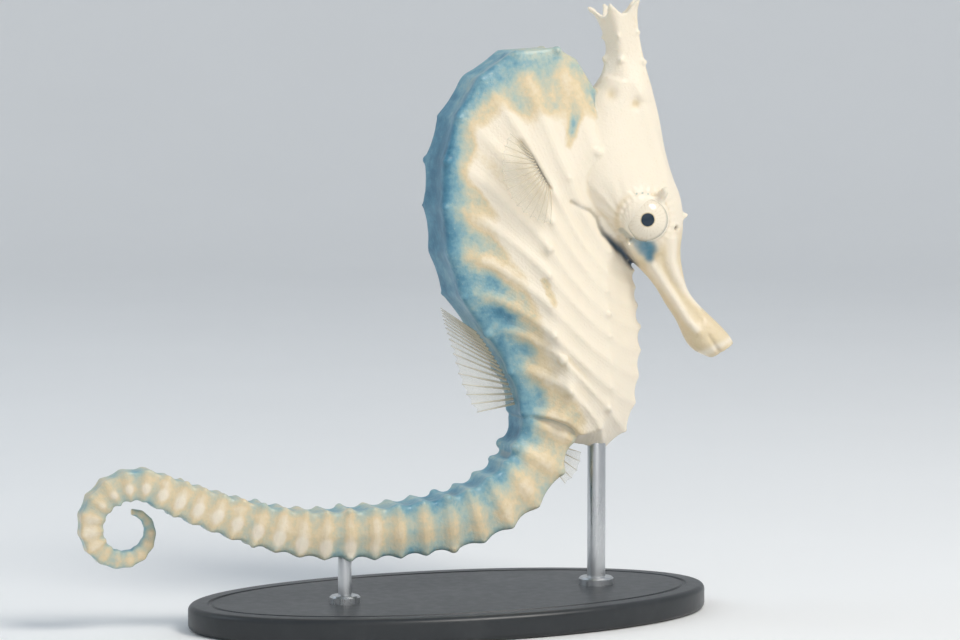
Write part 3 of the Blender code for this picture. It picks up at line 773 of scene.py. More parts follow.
@dataclass
class TailForm:
    """A four-ridged tail of shrinking rings that ends in a flat curl."""

    line: tuple = ((-7.25, 22.3), (-9.6, 17.5), (-13.6, 14.4), (-18.8, 12.3), (-25.2, 11.5),
                   (-31.5, 11.2), (-37.9, 11.4), (-44.2, 12.8), (-50.3, 14.95), (-55.6, 17.2))
    curl_radius: float = 5.4
    curl_shrink: float = 0.34
    curl_turn: float = 380.0       # degrees
    curl_steps: int = 36
    root_radius: float = 3.75
    tip_radius: float = 0.42
    fullness: float = 1.6          # above 1 the tail keeps its girth for longer
    taper: float = 0.90
    rings: int = 34
    ring_ratio: float = 0.965
    # These five are shares of the tail's radius.
    tubercle: float = 0.10
    bar: float = 0.05
    hollow: float = 0.09
    knob_lift: float = 0.03
    knob_size: tuple[float, float] = (0.15, 0.045)  # and how much more on each fourth ring
    sway: float = 3.0
    sway_waves: float = 0.8
    profile: Profile = ((-0.94, 0.00, 0.0), (-0.86, 0.66, 1.0), (-0.02, 0.86, 0.0),
                        (0.80, 0.62, 1.0), (0.92, 0.00, 0.0))
    steps: int = 12
    samples: int = 7
    root_reach: float = 2.4        # how far the tail's root runs up into the trunk
    root_steps: int = 6

    def __post_init__(self) -> None:
        """Makes the centre line and the section."""
        self.centre = Line(self.curled_line())
        self.loop = RidgedLoop(self.profile, self.samples, crisp=0.7)
        lengths = self.ring_ratio ** np.arange(self.rings)
        self.ring_starts = np.concatenate([[0.0], np.cumsum(lengths)]) / lengths.sum()

    def curled_line(self) -> list[tuple[float, float]]:
        """The centre line, ended by a spiral that turns down and inwards."""
        points = [tuple(point) for point in self.line]
        end, before = np.array(points[-1]), np.array(points[-2])
        angle = math.atan2(*(end - before)[::-1])
        turn = math.radians(self.curl_turn) / self.curl_steps
        for k in range(self.curl_steps):
            share = (k + 0.5) / self.curl_steps
            angle += turn
            radius = self.curl_radius * (1 - (1 - self.curl_shrink) * share)
            end = end + np.array([math.cos(angle), math.sin(angle)]) * radius * turn
            points.append(tuple(end))
        return points

    def share(self, ring: Array) -> Array:
        """Share of the tail's length at ring numbers."""
        return np.interp(ring, np.arange(self.rings + 1), self.ring_starts)

    def radius(self, share: Array) -> Array:
        """Half the tail's depth at shares of its length."""
        thinned = (1 - np.minimum(share, 1.0) ** self.fullness) ** self.taper
        return self.tip_radius + (self.root_radius - self.tip_radius) * thinned

    def side_swing(self, share: Array) -> Array:
        """How far the centre line lies to the side."""
        wave = np.sin(2 * math.pi * self.sway_waves * share)
        return -self.sway * wave * eased(share, 0.0, 0.16)

    def sections(self, ring: Array, relief: Array) -> Array:
        """Rings of points at ring numbers; relief is a share of the radius."""
        share = self.share(ring)
        centre, heading = self.centre.at(share), self.centre.heading(share)
        radius = self.radius(share)[:, None]
        flat = self.loop.flat[None] * radius[..., None]
        flat = flat * (1 + relief * radius / np.linalg.norm(flat, axis=2))[..., None]
        place = centre[:, None] + quarter_turned(heading)[:, None] * flat[..., :1]
        return in_plane(place, flat[..., 1] + self.side_swing(share)[:, None])

    def relief(self, ring: Array) -> Array:
        """How far the surface stands out, as a share of the radius."""
        crest = ring_crest(ring, 1.3)[:, None]
        bar = ring_crest(ring, 2.2)[:, None]
        out = self.tubercle * crest * self.loop.ridge[None] + self.bar * bar
        return out - self.hollow * (1 - crest) * (1 - self.loop.ridge[None])

    def shell(self) -> Shell:
        """The tail's surface, run a little way up into the trunk."""
        ring = np.linspace(0, self.rings, self.rings * self.steps + 1)
        rings = self.sections(ring, self.relief(ring))
        inward = -in_plane(self.centre.heading(0.0))[0]
        lead = np.linspace(1, 0, self.root_steps, endpoint=False)[:, None, None]
        middle = rings[0].mean(axis=0)
        root = middle + (rings[0] - middle) * (1 - 0.25 * lead) + inward * self.root_reach * lead
        rings = np.concatenate([root, rings])
        ring = np.concatenate([np.zeros(len(lead)), ring])
        ring = ring[:, None]
        return Shell.lofted(rings, along=ring, back=self.loop.flat[:, 0],
                            ring=ring_crest(ring, 1.6), region=Region.TAIL.value,
                            cell=(1 - ring_crest(ring, 0.7)) * (1 - self.loop.ridge)[None])

    def knobs(self) -> tuple[Array, Array]:
        """Places and radii of the knobs on the ridges, larger on every fourth ring."""
        ring = np.arange(1.0, self.rings)
        rings = self.sections(ring, np.full((len(ring), self.loop.sides), self.knob_lift))
        small, more = self.knob_size
        size = self.radius(self.share(ring)) * (small + more * (np.arange(len(ring)) % 4 == 0))
        crossing = self.loop.crossing
        return rings[:, crossing].reshape(-1, 3), np.repeat(size, len(crossing))


@dataclass
class HeadForm:
    """A crowned, tube-snouted head, whose sections fan from the crown to the mouth."""

    front_line: tuple = ((6.1, 62.6), (6.9, 59.5), (7.7, 55.3), (8.6, 52.2), (9.6, 49.5),
                         (9.9, 46.4), (9.6, 43.3), (9.9, 40.7), (10.6, 38.4), (12.1, 36.5),
                         (14.1, 34.6), (15.5, 33.1), (16.0, 32.3))
    rear_line: tuple = ((0.0, 64.3), (-2.7, 60.1), (-5.2, 54.8), (-4.2, 50.3), (0.2, 46.2),
                        (3.0, 42.8), (5.2, 40.6), (6.6, 38.9), (7.8, 36.9), (9.1, 34.9),
                        (10.3, 32.4), (11.4, 31.2), (13.1, 30.4))
    half_widths: tuple = (2.5, 3.2, 4.4, 4.9, 4.3, 3.3, 2.3, 1.85, 1.7, 1.75, 1.95, 1.9, 1.35)
    eye_centre: tuple[float, float] = (4.9, 47.3)
    eye_radius: float = 2.7        # seen from the side
    eye_half_depth: float = 1.9
    eye_offset: float = 3.8        # of the eye's middle from the head's
    skew: float = 0.30             # how much wider the cheeks are than the brow
    orbit_centre: tuple[float, float] = (4.3, 47.6)
    orbit_height: float = 0.8
    orbit_reach: float = 3.4
    turret: tuple[float, float] = (3.12, 1.25)      # radius and half depth of the eye's mound
    lid: tuple[float, float] = (2.56, 0.22)         # radius and thickness of the lid's rim
    lid_shift: tuple[float, float] = (-0.22, 0.12)  # of the mound and lid from the eye's middle
    lid_sink: float = 0.02
    lid_sides: int = 72
    turret_sides: int = 56
    # Root, tip and root radius of the brow's and the cheek's spine on the left, and the nose's.
    spines: tuple = (((6.2, 3.4, 48.9), (7.1, 5.15, 51.0), 1.05),
                     ((3.3, 2.0, 45.2), (2.7, 5.0, 44.3), 0.85))
    nose_spine: tuple = ((8.0, 0.0, 46.9), (10.6, 0.0, 47.6), 1.15)
    steps: int = 14
    sides: int = 96
    mouth: tuple = ((0.22, 0.94), (0.34, 0.80), (0.26, 0.60), (-0.10, 0.44), (-0.80, 0.34))

    def __post_init__(self) -> None:
        """Makes the lines."""
        self.front, self.rear = Line(self.front_line), Line(self.rear_line)
        self.widths = Line([(k, width) for k, width in enumerate(self.half_widths)])
        self.last = float(len(self.front_line) - 1)

    def sections(self, station: Array) -> tuple[Array, Array]:
        """Rings of points of the straight head, and their depth from -1, rear, to 1, front."""
        front, rear = self.front.at_place(station), self.rear.at_place(station)
        width = self.widths.at_place(station)[:, 1:]
        middle, half = (front + rear) / 2, (front - rear) / 2
        tube_share = np.clip((station - 4.0) / 3.0, 0.0, 1.0)[:, None]
        angle = circle(self.sides)[None]
        depth, turn = np.cos(angle), np.sin(angle)
        across = np.sign(turn) * np.abs(turn) ** 0.9
        side = width * across * (1 - self.skew * (1 - tube_share) * depth)
        place = middle[:, None] + half[:, None] * depth[..., None]
        gap = np.linalg.norm(place - self.eye_centre, axis=2)
        swelling = self.orbit_height * near(gap, self.orbit_reach, 4.0)
        side = side + swelling * np.sign(turn) * np.abs(turn) ** 0.5
        return in_plane(place, -side), np.broadcast_to(depth, side.shape)

    def shell(self) -> Shell:
        """Skull, cheeks and snout, ending in rounded lips round a small mouth."""
        station = np.linspace(0, self.last, int(self.last * self.steps) + 1)
        rings, depth = self.sections(station)
        ahead = (self.front.at_place(self.last) - self.front.at_place(self.last - 0.4))[0]
        ahead += (self.rear.at_place(self.last) - self.rear.at_place(self.last - 0.4))[0]
        ahead = in_plane(unit(ahead))
        middle = rings[-1].mean(axis=0)
        lips = [middle + (rings[-1] - middle) * size + ahead * reach for reach, size in self.mouth]
        rings = np.concatenate([rings, np.array(lips)])
        depth = np.concatenate([depth, np.repeat(depth[-1:], len(lips), axis=0)])
        station = np.concatenate([station, np.full(len(lips), self.last)])
        shell = Shell.lofted(rings, along=station[:, None], back=-depth, region=Region.HEAD.value)
        shell.points = BENCH.turned(shell.points)
        return shell

    def eye_middle(self, side: int) -> Array:
        """Middle of an eye of the straight head; side is -1 for right and 1 for left."""
        x, z = self.eye_centre
        return np.array([x, side * self.eye_offset, z])

    def extras(self) -> list[Shell]:
        """The mounds and lid rims of the eyes and the blunt spines of the head."""
        made = []
        reach, thick = self.lid
        angle = np.linspace(0, 2 * math.pi, self.lid_sides)
        out = self.eye_half_depth * math.sqrt(1 - (reach / self.eye_radius) ** 2) - self.lid_sink
        ring = reach * np.stack([np.cos(angle), np.sin(angle)], axis=1)
        radius, deep = self.turret
        for side in (-1, 1):
            middle = self.eye_middle(side) + in_plane(np.array(self.lid_shift))
            made.append(ball(middle, (radius, deep, radius), self.turret_sides))
            made.append(tube(in_plane(ring, side * out) + middle, np.full(len(ring), thick)))
            for root, tip, wide in self.spines:
                sided = [(x, side * y, z) for x, y, z in (root, tip)]
                made.append(self.spine(*sided, wide))
        made.append(self.spine(*self.nose_spine))
        for shell in made:
            shell.points = BENCH.turned(shell.points)
            shell.marked(along=4.5, back=-0.5, region=Region.HEAD.value)
        return made

    @staticmethod
    def spine(root: Sequence[float], tip: Sequence[float], radius: float,
              blunt: float = 0.30) -> Shell:
        """A spine from a root inside the head to a rounded tip.

        Args:
            root: middle of its foot.
            tip: its outermost point.
            radius: radius at the root.
            blunt: radius just below the rounded tip.

        Returns:
            The spine's surface.
        """
        share = 1 - (1 - np.linspace(0, 1, 18)) ** 1.6
        points = np.outer(1 - share, root) + np.outer(share, tip)
        radii = blunt + (radius - blunt) * (1 - share) ** 1.4
        radii = radii * np.sqrt(1.001 - np.clip((share - 0.80) / 0.20, 0, 1) ** 2)
        return tube(points, radii, 20)


@dataclass
class CrownForm:
    """The tall coronet: a waisted column that opens into a cup of five points."""

    base: tuple[float, float] = (3.05, 63.45)
    top: tuple[float, float] = (1.75, 72.0)
    bow: float = 0.30              # how far the axis bows forwards halfway up
    points_round: int = 5
    # Height share, half depth, half width and depth of the star.
    stations: tuple = ((0.00, 3.20, 2.50, 0.00), (0.16, 2.70, 2.15, 0.03),
                       (0.32, 2.30, 1.85, 0.06), (0.48, 2.08, 1.75, 0.08),
                       (0.66, 2.05, 1.80, 0.10), (0.84, 2.22, 2.05, 0.15),
                       (1.00, 2.55, 2.45, 0.24))
    seam: tuple = ((6.1, 62.6), (0.0, 64.3))        # front and rear of the head's top
    rise: float = 1.5              # of the points above the notches
    dish: float = 1.3              # depth of the cup
    # Shares of the rim's width, of the cup's depth and of the star, from the rim inwards.
    cup: tuple = ((0.93, 0.02, 0.95), (0.84, 0.16, 0.85), (0.70, 0.40, 0.7),
                  (0.52, 0.72, 0.5), (0.30, 0.95, 0.3))
    spike: tuple[float, float] = (0.34, 0.42)       # length and root radius on each point
    knob_rows: tuple = ((0.62, 0.32), (0.28, 0.42))  # height share and radius of rib knobs
    root_reach: float = 1.6        # how far the column runs down into the head
    steps: int = 70
    sides: int = 100

    def section(self, height: float, half_depth: float, half_width: float, star: float,
                sink: float = 0.0) -> Array:
        """One ring of the straight head's crown."""
        base, axis = np.array(self.base), np.array(self.top) - self.base
        seam = np.array(self.seam[0]) - self.seam[1]
        share = min(height * 1.6, 1.0) if height > 0 else 0.0
        forward = unit(unit(seam) * (1 - share) + unit(-quarter_turned(axis)) * share)
        angle = circle(self.sides)
        wave = np.cos(self.points_round * angle)
        wave = wave * (1 + 0.25 * wave) / 1.25          # points narrower than notches
        reach = 1 + star * wave
        bow = self.bow * math.sin(math.pi * np.clip(height, 0, 1))
        bowed = base + axis * height + forward * bow
        place = bowed - np.outer(half_depth * reach * np.cos(angle), forward)
        place += np.outer(self.rise * 2 * star * wave - sink, quarter_turned(forward))
        return in_plane(place, half_width * reach * np.sin(angle))

    def shell(self) -> Shell:
        """The crown, run a little way down into the head."""
        table = Line([(k, *row) for k, row in enumerate(self.stations)])
        places = np.linspace(0, len(self.stations) - 1, self.steps)
        rows = table.at_place(places)[:, 1:]
        length = float(np.linalg.norm(np.array(self.top) - self.base))
        low = rows[0].copy()
        low[0] = -self.root_reach / length
        rings = [self.section(*low)] + [self.section(*row) for row in rows]
        height, half_depth, half_width, star = rows[-1]
        for share, sink, flat in self.cup:
            rings.append(self.section(height, half_depth * share, half_width * share,
                                      star * flat, self.dish * sink))
        shell = Shell.lofted(np.array(rings), along=np.linspace(0, 1, len(rings))[:, None],
                             back=-np.cos(circle(self.sides)), region=Region.CROWN.value)
        shell.points = BENCH.turned(shell.points)
        return shell

    def extras(self) -> list[Shell]:
        """A blunt spike on each point and low knobs on the ribs below it."""
        made = []
        heights = [row[0] for row in self.stations]
        turns = self.sides // self.points_round * np.arange(self.points_round)
        long, thick = self.spike
        rim = self.section(*self.stations[-1])
        lower = self.section(*self.stations[-2]).mean(axis=0)
        for root in rim[turns]:
            way = unit(root - lower) + [0.0, 0.0, 0.35]
            made.append(HeadForm.spine(root - way * 0.5, root + way * (long - 0.1), thick, 0.24))
        for height, radius in self.knob_rows:
            row = [np.interp(height, heights, column) for column in zip(*self.stations)]
            for place in self.section(*row)[turns]:
                made.append(ball(place, (radius,) * 3, 20))
        for shell in made:
            shell.points = BENCH.turned(shell.points)
            shell.marked(along=0.8, region=Region.CROWN.value)
        return made


# ---- Geometry Nodes: what repeats ----
class NodeTree(Nodes):
    """A Geometry Nodes tree under construction, with named inputs."""

    def __init__(self, name: str, inputs: Mapping[str, str]) -> None:
        """Starts a tree.

        Args:
            name: the tree's name.
            inputs: socket type of each named input.
        """
        self.tree = bpy.data.node_groups.new(name, "GeometryNodeTree")
        face = self.tree.interface
        face.new_socket("Geometry", in_out="INPUT", socket_type="NodeSocketGeometry")
        self.keys = {key: face.new_socket(key, in_out="INPUT", socket_type=kind).identifier
                     for key, kind in inputs.items()}
        face.new_socket("Geometry", in_out="OUTPUT", socket_type="NodeSocketGeometry")
        self.entry = self.tree.nodes.new("NodeGroupInput")

    def finish(self, geometry: bpy.types.NodeSocket) -> None:
        """Ends the tree in Realize Instances and Set Material."""
        real = self.node("GeometryNodeRealizeInstances", None, {"Geometry": geometry})
        finish = self.entry.outputs["Material"]
        coated = self.node("GeometryNodeSetMaterial", None,
                           {"Geometry": real.outputs[0], "Material": finish})
        out = self.tree.nodes.new("NodeGroupOutput")
        self.tree.links.new(coated.outputs[0], out.inputs[0])

    def grow(self, obj: bpy.types.Object, **values: Any) -> bpy.types.Object:
        """Runs the tree on an object and keeps the plain mesh that it makes.

        Args:
            obj: the object whose mesh feeds the tree.
            **values: the named inputs, with _ for a space.

        Returns:
            The object, with the new mesh and no modifier.
        """
        modifier = obj.modifiers.new(self.tree.name, "NODES")
        modifier.node_group = self.tree
        for key, value in values.items():
            modifier[self.keys[key.replace("_", " ")]] = value
        return settled(obj)


def knob_tree() -> NodeTree:
    """Sets one low dome on each point, as large as the point's own size says."""
    tree = NodeTree("knob_field", {"Scale": "NodeSocketFloat", "Material": "NodeSocketMaterial"})
    size = tree.node("GeometryNodeInputNamedAttribute", {"data_type": "FLOAT"}, {"Name": "size"})
    scale = tree.node("ShaderNodeMath", {"operation": "MULTIPLY"},
                      {0: size.outputs[0], 1: tree.entry.outputs["Scale"]})
    dome = tree.node("GeometryNodeMeshIcoSphere", None, {"Radius": 1.0, "Subdivisions": 2})
    set_out = tree.node("GeometryNodeInstanceOnPoints", None,
                        {"Points": tree.entry.outputs["Geometry"], "Instance": dome.outputs[0],
                         "Scale": scale.outputs[0]})
    tree.finish(set_out.outputs[0])
    return tree


def ray_tree() -> NodeTree:
    """Turns each line of points into a round ray that thins to its tip."""
    tree = NodeTree("fin_rays", {"Root radius": "NodeSocketFloat", "Tip share": "NodeSocketFloat",
                                 "Material": "NodeSocketMaterial"})
    curve = tree.node("GeometryNodeMeshToCurve", None, {"Mesh": tree.entry.outputs["Geometry"]})
    place = tree.node("GeometryNodeSplineParameter")
    taper = tree.node("ShaderNodeMapRange", None,
                      {"Value": place.outputs["Factor"], "To Min": 1.0,
                       "To Max": tree.entry.outputs["Tip share"]})
    ring = tree.node("GeometryNodeCurvePrimitiveCircle", {"mode": "RADIUS"},
                     {"Resolution": 8, "Radius": tree.entry.outputs["Root radius"]})
    rod = tree.node("GeometryNodeCurveToMesh", None,
                    {"Curve": curve.outputs[0], "Profile Curve": ring.outputs[0],
                     "Scale": taper.outputs[0], "Fill Caps": True})
    tree.finish(rod.outputs[0])
    return tree


# ---- Skin ----
@dataclass(frozen=True)
class SkinFinish:
    """Cream skin whose painted shade runs through tan and grey-green to a slate-blue back."""

    slate: Colour = (0.030, 0.150, 0.240)
    steel: Colour = (0.082, 0.245, 0.345)
    blue: Colour = (0.190, 0.365, 0.425)
    sage: Colour = (0.390, 0.485, 0.435)
    tan: Colour = (0.715, 0.580, 0.365)
    cream: Colour = (0.860, 0.770, 0.625)
    crease_shade: Colour = (0.010, 0.040, 0.075)
    roughness: float = 0.46
    beads: int = 24                # in a full turn round the eye
    bead_ring: float = 2.83        # millimetres from the eye's middle
    gill_lines: float = 30.0
    striae: float = 44.0

    def make(self) -> bpy.types.Material:
        """Builds the material on the marks that the skin carries."""
        desk = Desk("seahorse_skin")
        swell = desk.cloud(7.5, 2.0, 0.5)
        blotch = desk.cloud(3.2, 4.0, 0.6)
        fleck = desk.cloud(0.75, 3.0, 0.6)
        grain = desk.cells(0.34)
        # Painted shade: the tone mark runs from slate blue on the shaded back, through grey-green
        # and tan, to a lit cream belly; the clouds add random tone.
        tone = desk.mark("tone") + (blotch - 0.5) * 0.50 + (fleck - 0.5) * 0.30
        tone = tone + (swell - 0.5) * 0.55
        ramp = desk.node("ShaderNodeValToRGB",
                         {"stops": ((0.00, self.slate), (0.13, self.steel), (0.25, self.blue),
                                    (0.38, self.sage), (0.60, self.tan), (0.86, self.cream))},
                         {"Fac": tone})
        colour = Value(desk, ramp.outputs["Color"])
        hollow = desk.mark("hollow")
        # Painted shade: tan in the hollows of the skin, and steel blue in the hollows near the
        # shaded back.
        colour = desk.mix(hollow.above(0.25, 0.95) * 0.55, colour, self.tan)
        colour = desk.mix(hollow.above(0.25, 0.8) * desk.mark("shade") * 0.8, colour, self.steel)
        pale = desk.mark("pale").above(0.08, 0.75) * (0.70 + blotch * 0.45)
        colour = desk.mix(pale, colour, self.cream)
        # Painted shade: tan behind the eye, over the snout tube but not its ridges, under the chin
        # and in the dimples.
        colour = desk.mix(desk.mark("tan") * (0.60 + fleck * 0.5), colour, self.tan)
        # Painted shade: steel blue in the hollow under the eye.
        colour = desk.mix(desk.mark("blue") * (0.7 + blotch * 0.5), colour, self.steel)
        freckle = grain.below(0.10, 0.24) * fleck.above(0.52, 0.62)
        colour = desk.mix(freckle * 0.30, colour, self.tan)
        beads = (desk.mark("orbit_turn") * self.beads + 2.28).waved().above(0.35, 0.8)
        off_ring = desk.mark("orbit_gap") - self.bead_ring
        beads = beads * (off_ring * off_ring).below(0.004, 0.016) * desk.mark("brow")
        colour = desk.mix(beads * 0.7, colour, self.sage)
        # Painted shade: near black in the gill slit, the fin slits and the nostril.
        colour = desk.mix(desk.mark("dark"), colour, self.crease_shade)
        rough = self.roughness + (fleck - 0.5) * 0.22 + hollow * 0.10
        pebbles = desk.relief(grain.below(0.0, 0.55), 0.014)
        wrinkles = desk.relief(desk.cloud(0.55, 4.0, 0.65), 0.045, pebbles)
        striae = (desk.mark("along") * self.striae + blotch * 7).waved()
        lines = desk.relief(striae * desk.mark("body") * 0.5 + 0.5, 0.007, wrinkles)
        gills = (desk.mark("cheek_turn") * self.gill_lines + fleck * 2.0).waved()
        folds = desk.relief(gills * desk.mark("cheek") * 0.5 + 0.5, 0.030, lines)
        return desk.surface(colour, rough, Normal=folds, Coat_Weight=0.18, Coat_Roughness=0.28,
                            Subsurface_Weight=0.10, Subsurface_Radius=(0.8, 0.5, 0.3),
                            Subsurface_Scale=0.0012, Specular_IOR_Level=0.5)


@dataclass(frozen=True)
class Fold:
    """A ridge of the straight head, or a groove where it is less than 0 high."""

    height: float
    reach: float                   # half its width
    path: tuple                    # corners in the side plane


@dataclass(frozen=True)
class Streak:
    """A stroke of one colour on the neck or flank."""

    tone: float
    first: float                   # half its width at its first and last end
    last: float
    path: tuple


@dataclass
class Skin:
    """The one skin of the whole animal, from the crown to the tip of the tail."""

    trunk: TrunkForm
    tail: TailForm
    head: HeadForm
    crown: CrownForm
    voxel: float = 0.195           # millimetres
    most_triangles: int = 196000
    nodes: tuple[str, ...] = ("head", "snout", "coronet", "neck", "trunk_upper", "trunk_lower",
                              "tail_1", "tail_2", "tail_3", "tail_tip")
    snout_ridges: tuple[Fold, ...] = (
        Fold(0.26, 0.45, ((8.3, 44.8), (8.3, 42.2), (9.0, 40.2), (10.3, 38.4), (12.4, 36.2))),
        Fold(0.26, 0.45, ((6.0, 41.5), (7.6, 39.2), (9.0, 37.2), (10.2, 35.2), (11.8, 33.4))))
    # The groove of the snout, the ridge of the brow and the line of the jaw.
    face_folds: tuple[Fold, ...] = (
        Fold(-0.20, 0.50, ((7.0, 42.6), (7.5, 41.0), (8.5, 39.2), (10.0, 37.0), (11.8, 35.0))),
        Fold(0.25, 0.80, ((4.4, 62.0), (6.0, 57.0), (7.3, 52.6), (7.4, 50.4))),
        Fold(-0.22, 0.26, ((14.6, 30.6), (13.6, 31.9), (12.9, 33.0))))
    # Creases of varying width, as paths in the side plane.
    gill_slit: tuple = ((-4.2, 49.5), (-3.1, 48.9), (-1.8, 48.4), (-0.9, 47.5), (-0.5, 46.4),
                        (0.0, 45.6), (0.8, 44.9), (1.7, 44.0), (2.9, 42.6), (3.9, 41.5))
    eye_hollow: tuple = ((1.9, 46.0), (2.8, 45.1), (4.0, 44.4), (5.3, 43.6), (5.5, 42.5))
    fin_slit: tuple = ((-11.9, 56.4), (-10.2, 54.2), (-8.5, 51.2))
    slit_depth: float = 0.45
    dimples: tuple = ((0.8, 62.1, 0.9), (3.9, 60.9, 0.7))   # place and size
    dimple_depth: float = 0.40
    nostril: tuple[float, float] = (8.8, 46.1)
    # Painted shade of the back: ring of the trunk, then how far in front of the back it turns
    # grey-green, tan and cream.
    shade_bands: tuple = ((0.5, 1.5, 4.5, 9.5), (1.5, 1.5, 4.0, 9.0), (2.3, 1.5, 3.5, 7.5),
                    (2.9, 1.2, 3.0, 5.0), (3.5, 0.8, 2.0, 3.4), (4.5, 0.8, 1.8, 2.7),
                    (5.1, 1.4, 2.2, 3.4), (5.6, 1.4, 3.0, 8.0), (6.2, 1.3, 3.2, 9.0),
                    (6.7, 3.0, 6.0, 12.5), (7.1, 3.0, 5.5, 12.5), (7.5, 4.0, 8.0, 12.5),
                    (8.2, 3.2, 7.5, 12.0), (8.8, 3.5, 7.0, 10.5), (9.2, 4.0, 7.5, 11.0),
                    (9.7, 1.3, 3.2, 9.5), (10.9, 1.8, 3.6, 10.0))
    # Painted shade: strokes that pull the neck down to tan and grey-green between its rings; the
    # last is a tan stroke on the flank.
    streaks: tuple[Streak, ...] = (
        Streak(0.58, 1.40, 0.60, ((-3.8, 62.8), (-4.5, 60.2), (-5.2, 58.0), (-5.8, 56.3))),
        Streak(0.34, 0.55, 0.50, ((-3.3, 63.4), (-2.8, 62.4))),
        Streak(0.34, 0.50, 0.45, ((-4.9, 59.2), (-5.3, 57.8))),
        Streak(0.58, 0.45, 0.65, ((-9.5, 40.4), (-8.9, 39.0), (-8.3, 37.5))))
    cheek_root: tuple[float, float] = (3.0, 46.2)   # where the gill cover's lines meet
    cheek_middle: tuple[float, float] = (0.4, 49.6)
    sideways: tuple[float, float] = (0.7, 1.6)      # the face's folds start this far out

    def build(self) -> bpy.types.Object:
        """Fuses the forms into one surface, then carves and dresses it."""
        shells = [self.trunk.shell(), self.tail.shell(), self.head.shell(), self.crown.shell()]
        shells += self.head.extras() + self.crown.extras()
        source = joined(shells)
        body = new_object("seahorse_skin", source)
        merged(body, self.knobs())
        remesh = body.modifiers.new("one_surface", "REMESH")
        remesh.mode = "VOXEL"
        remesh.voxel_size = self.voxel * MM
        settled(body)
        LOG.info("skin: %d faces after the remesh", len(body.data.polygons))
        self.carve(body, source)
        self.thin(body)
        dress(body, SkinFinish().make())
        body.data.shade_smooth()
        return body

    def thin(self, body: bpy.types.Object) -> None:
        """Takes faces out where the skin is flattest, down to the most that it may have."""
        thinner = body.modifiers.new("thinner", "DECIMATE")
        thinner.ratio = self.most_triangles / (2 * len(body.data.polygons))
        settled(body)
        LOG.info("skin: %d faces after thinning", len(body.data.polygons))

    def knobs(self) -> bpy.types.Object:
        """The domes where rings cross ridges."""
        places, sizes = zip(self.trunk.knobs(), self.tail.knobs())
        field_of_points = Shell(np.concatenate(places), [], {"size": np.concatenate(sizes) * MM})
        knobs = new_object("knobs", field_of_points)
        return knob_tree().grow(knobs, Scale=1.0)

    def carve(self, body: bpy.types.Object, source: Shell) -> None:
        """Smooths the fused surface, cuts its folds and writes its colour marks."""
        points, edges = mesh_arrays(body.data)
        points = averaged(points, edges, 3, 0.5)
        body.data.vertices.foreach_set("co", points.ravel())
        body.data.update()
        marks = self.carried_marks(points, source)
        normals = np.empty(len(points) * 3)
        body.data.vertices.foreach_get("normal", normals)
        normals = normals.reshape(-1, 3)
        own = points / MM - [BENCH.shift, 0.0, 0.0]
        straight = BENCH.straightened(own)
        is_head = averaged((marks["region"] >= Region.HEAD.value - 0.5).astype(float), edges, 4)
        fold, dark = self.folds(own, straight, is_head)
        points = points + normals * (fold * MM)[:, None]
        body.data.vertices.foreach_set("co", points.ravel())
        body.data.update()
        soft = averaged(points, edges, 16, 0.6)
        hollow = np.einsum("ij,ij->i", soft - points, normals) / MM
        self.write_marks(body, marks, edges, hollow, dark, own)
        self.write_head_marks(body, edges, straight, is_head, marks["along"])

    @staticmethod
    def carried_marks(points: Array, source: Shell) -> dict[str, Array]:
        """The marks of the nearest places on the forms, for points in metres."""
        polygons = [list(face) for face in source.faces]
        places = BENCH.metres(source.points)
        tree = BVHTree.FromPolygons(places.tolist(), polygons)
        corners = np.array([(*face, face[-1])[:4] for face in polygons])
        found = np.array([tree.find_nearest(point)[2] for point in points.tolist()])
        near_corners = corners[found]
        gap = np.linalg.norm(places[near_corners] - points[:, None], axis=2)
        weight = 1 / (gap + 1e-6)
        weight /= weight.sum(axis=1, keepdims=True)
        return {name: (value[near_corners] * weight).sum(axis=1)
                for name, value in source.marks.items()}

    def folds(self, own: Array, straight: Array, is_head: Array) -> tuple[Array, Array]:
        """Ridges, slits and dimples.

        Args:
            own: points in the maker's millimetres.
            straight: the same points with the head turned straight.
            is_head: 1 on the head and crown and 0 on the rest.

        Returns:
            How far each point moves outwards, in millimetres, and how dark its painted shade is.
        """
        side_plane, out = straight[:, [0, 2]], np.abs(straight[:, 1])
        cheek = eased(out, *self.sideways) * is_head
        gap, share = to_path(side_plane, self.gill_slit)
        wide, deep = 0.16 + 0.30 * share, 0.40 + 0.60 * eased(share, 0.30, 0.75)
        fold = -self.slit_depth * near(gap, wide + 0.12) * deep * eased(out, 1.0, 2.0)
        # Painted shade: darkness in the gill slit, widest and deepest towards its lower end.
        dark = near(gap, wide, 3.0) * deep * eased(out - 1.2 + 1.9 * share, 0.0, 0.9)
        for crease in self.snout_ridges + self.face_folds:
            gap, _ = to_path(side_plane, crease.path)
            fold += crease.height * near(gap, crease.reach) * cheek
        gap, share = to_path(side_plane, self.eye_hollow)
        fold -= (0.10 + 0.40 * share) * near(gap, 0.30 + 0.55 * share) * cheek
        for x, z, size in self.dimples:
            gap = gap_to(side_plane, (x, z))
            fold -= self.dimple_depth * size * near(gap, size) * cheek
        gap = gap_to(side_plane, self.nostril)
        fold += (0.14 * near(gap - 0.42, 0.22) - 0.42 * near(gap, 0.26)) * cheek
        # Painted shade in the nostril.
        dark = np.maximum(dark, 0.85 * near(gap, 0.22, 3.0) * cheek)
        fold += self.wrinkles(side_plane) * cheek
        flank = eased(np.abs(own[:, 1]), 2.5, 3.5) * (1 - is_head)
        gap, share = to_path(own[:, [0, 2]], self.fin_slit)
        fold -= self.slit_depth * near(gap, 0.42) * flank
        # Painted shade in the pectoral fin's slit.
        dark = np.maximum(dark, 0.8 * near(gap, 0.30, 3.0) * flank * np.sin(math.pi * share) ** 0.5)
        return fold, np.clip(dark, 0, 1)

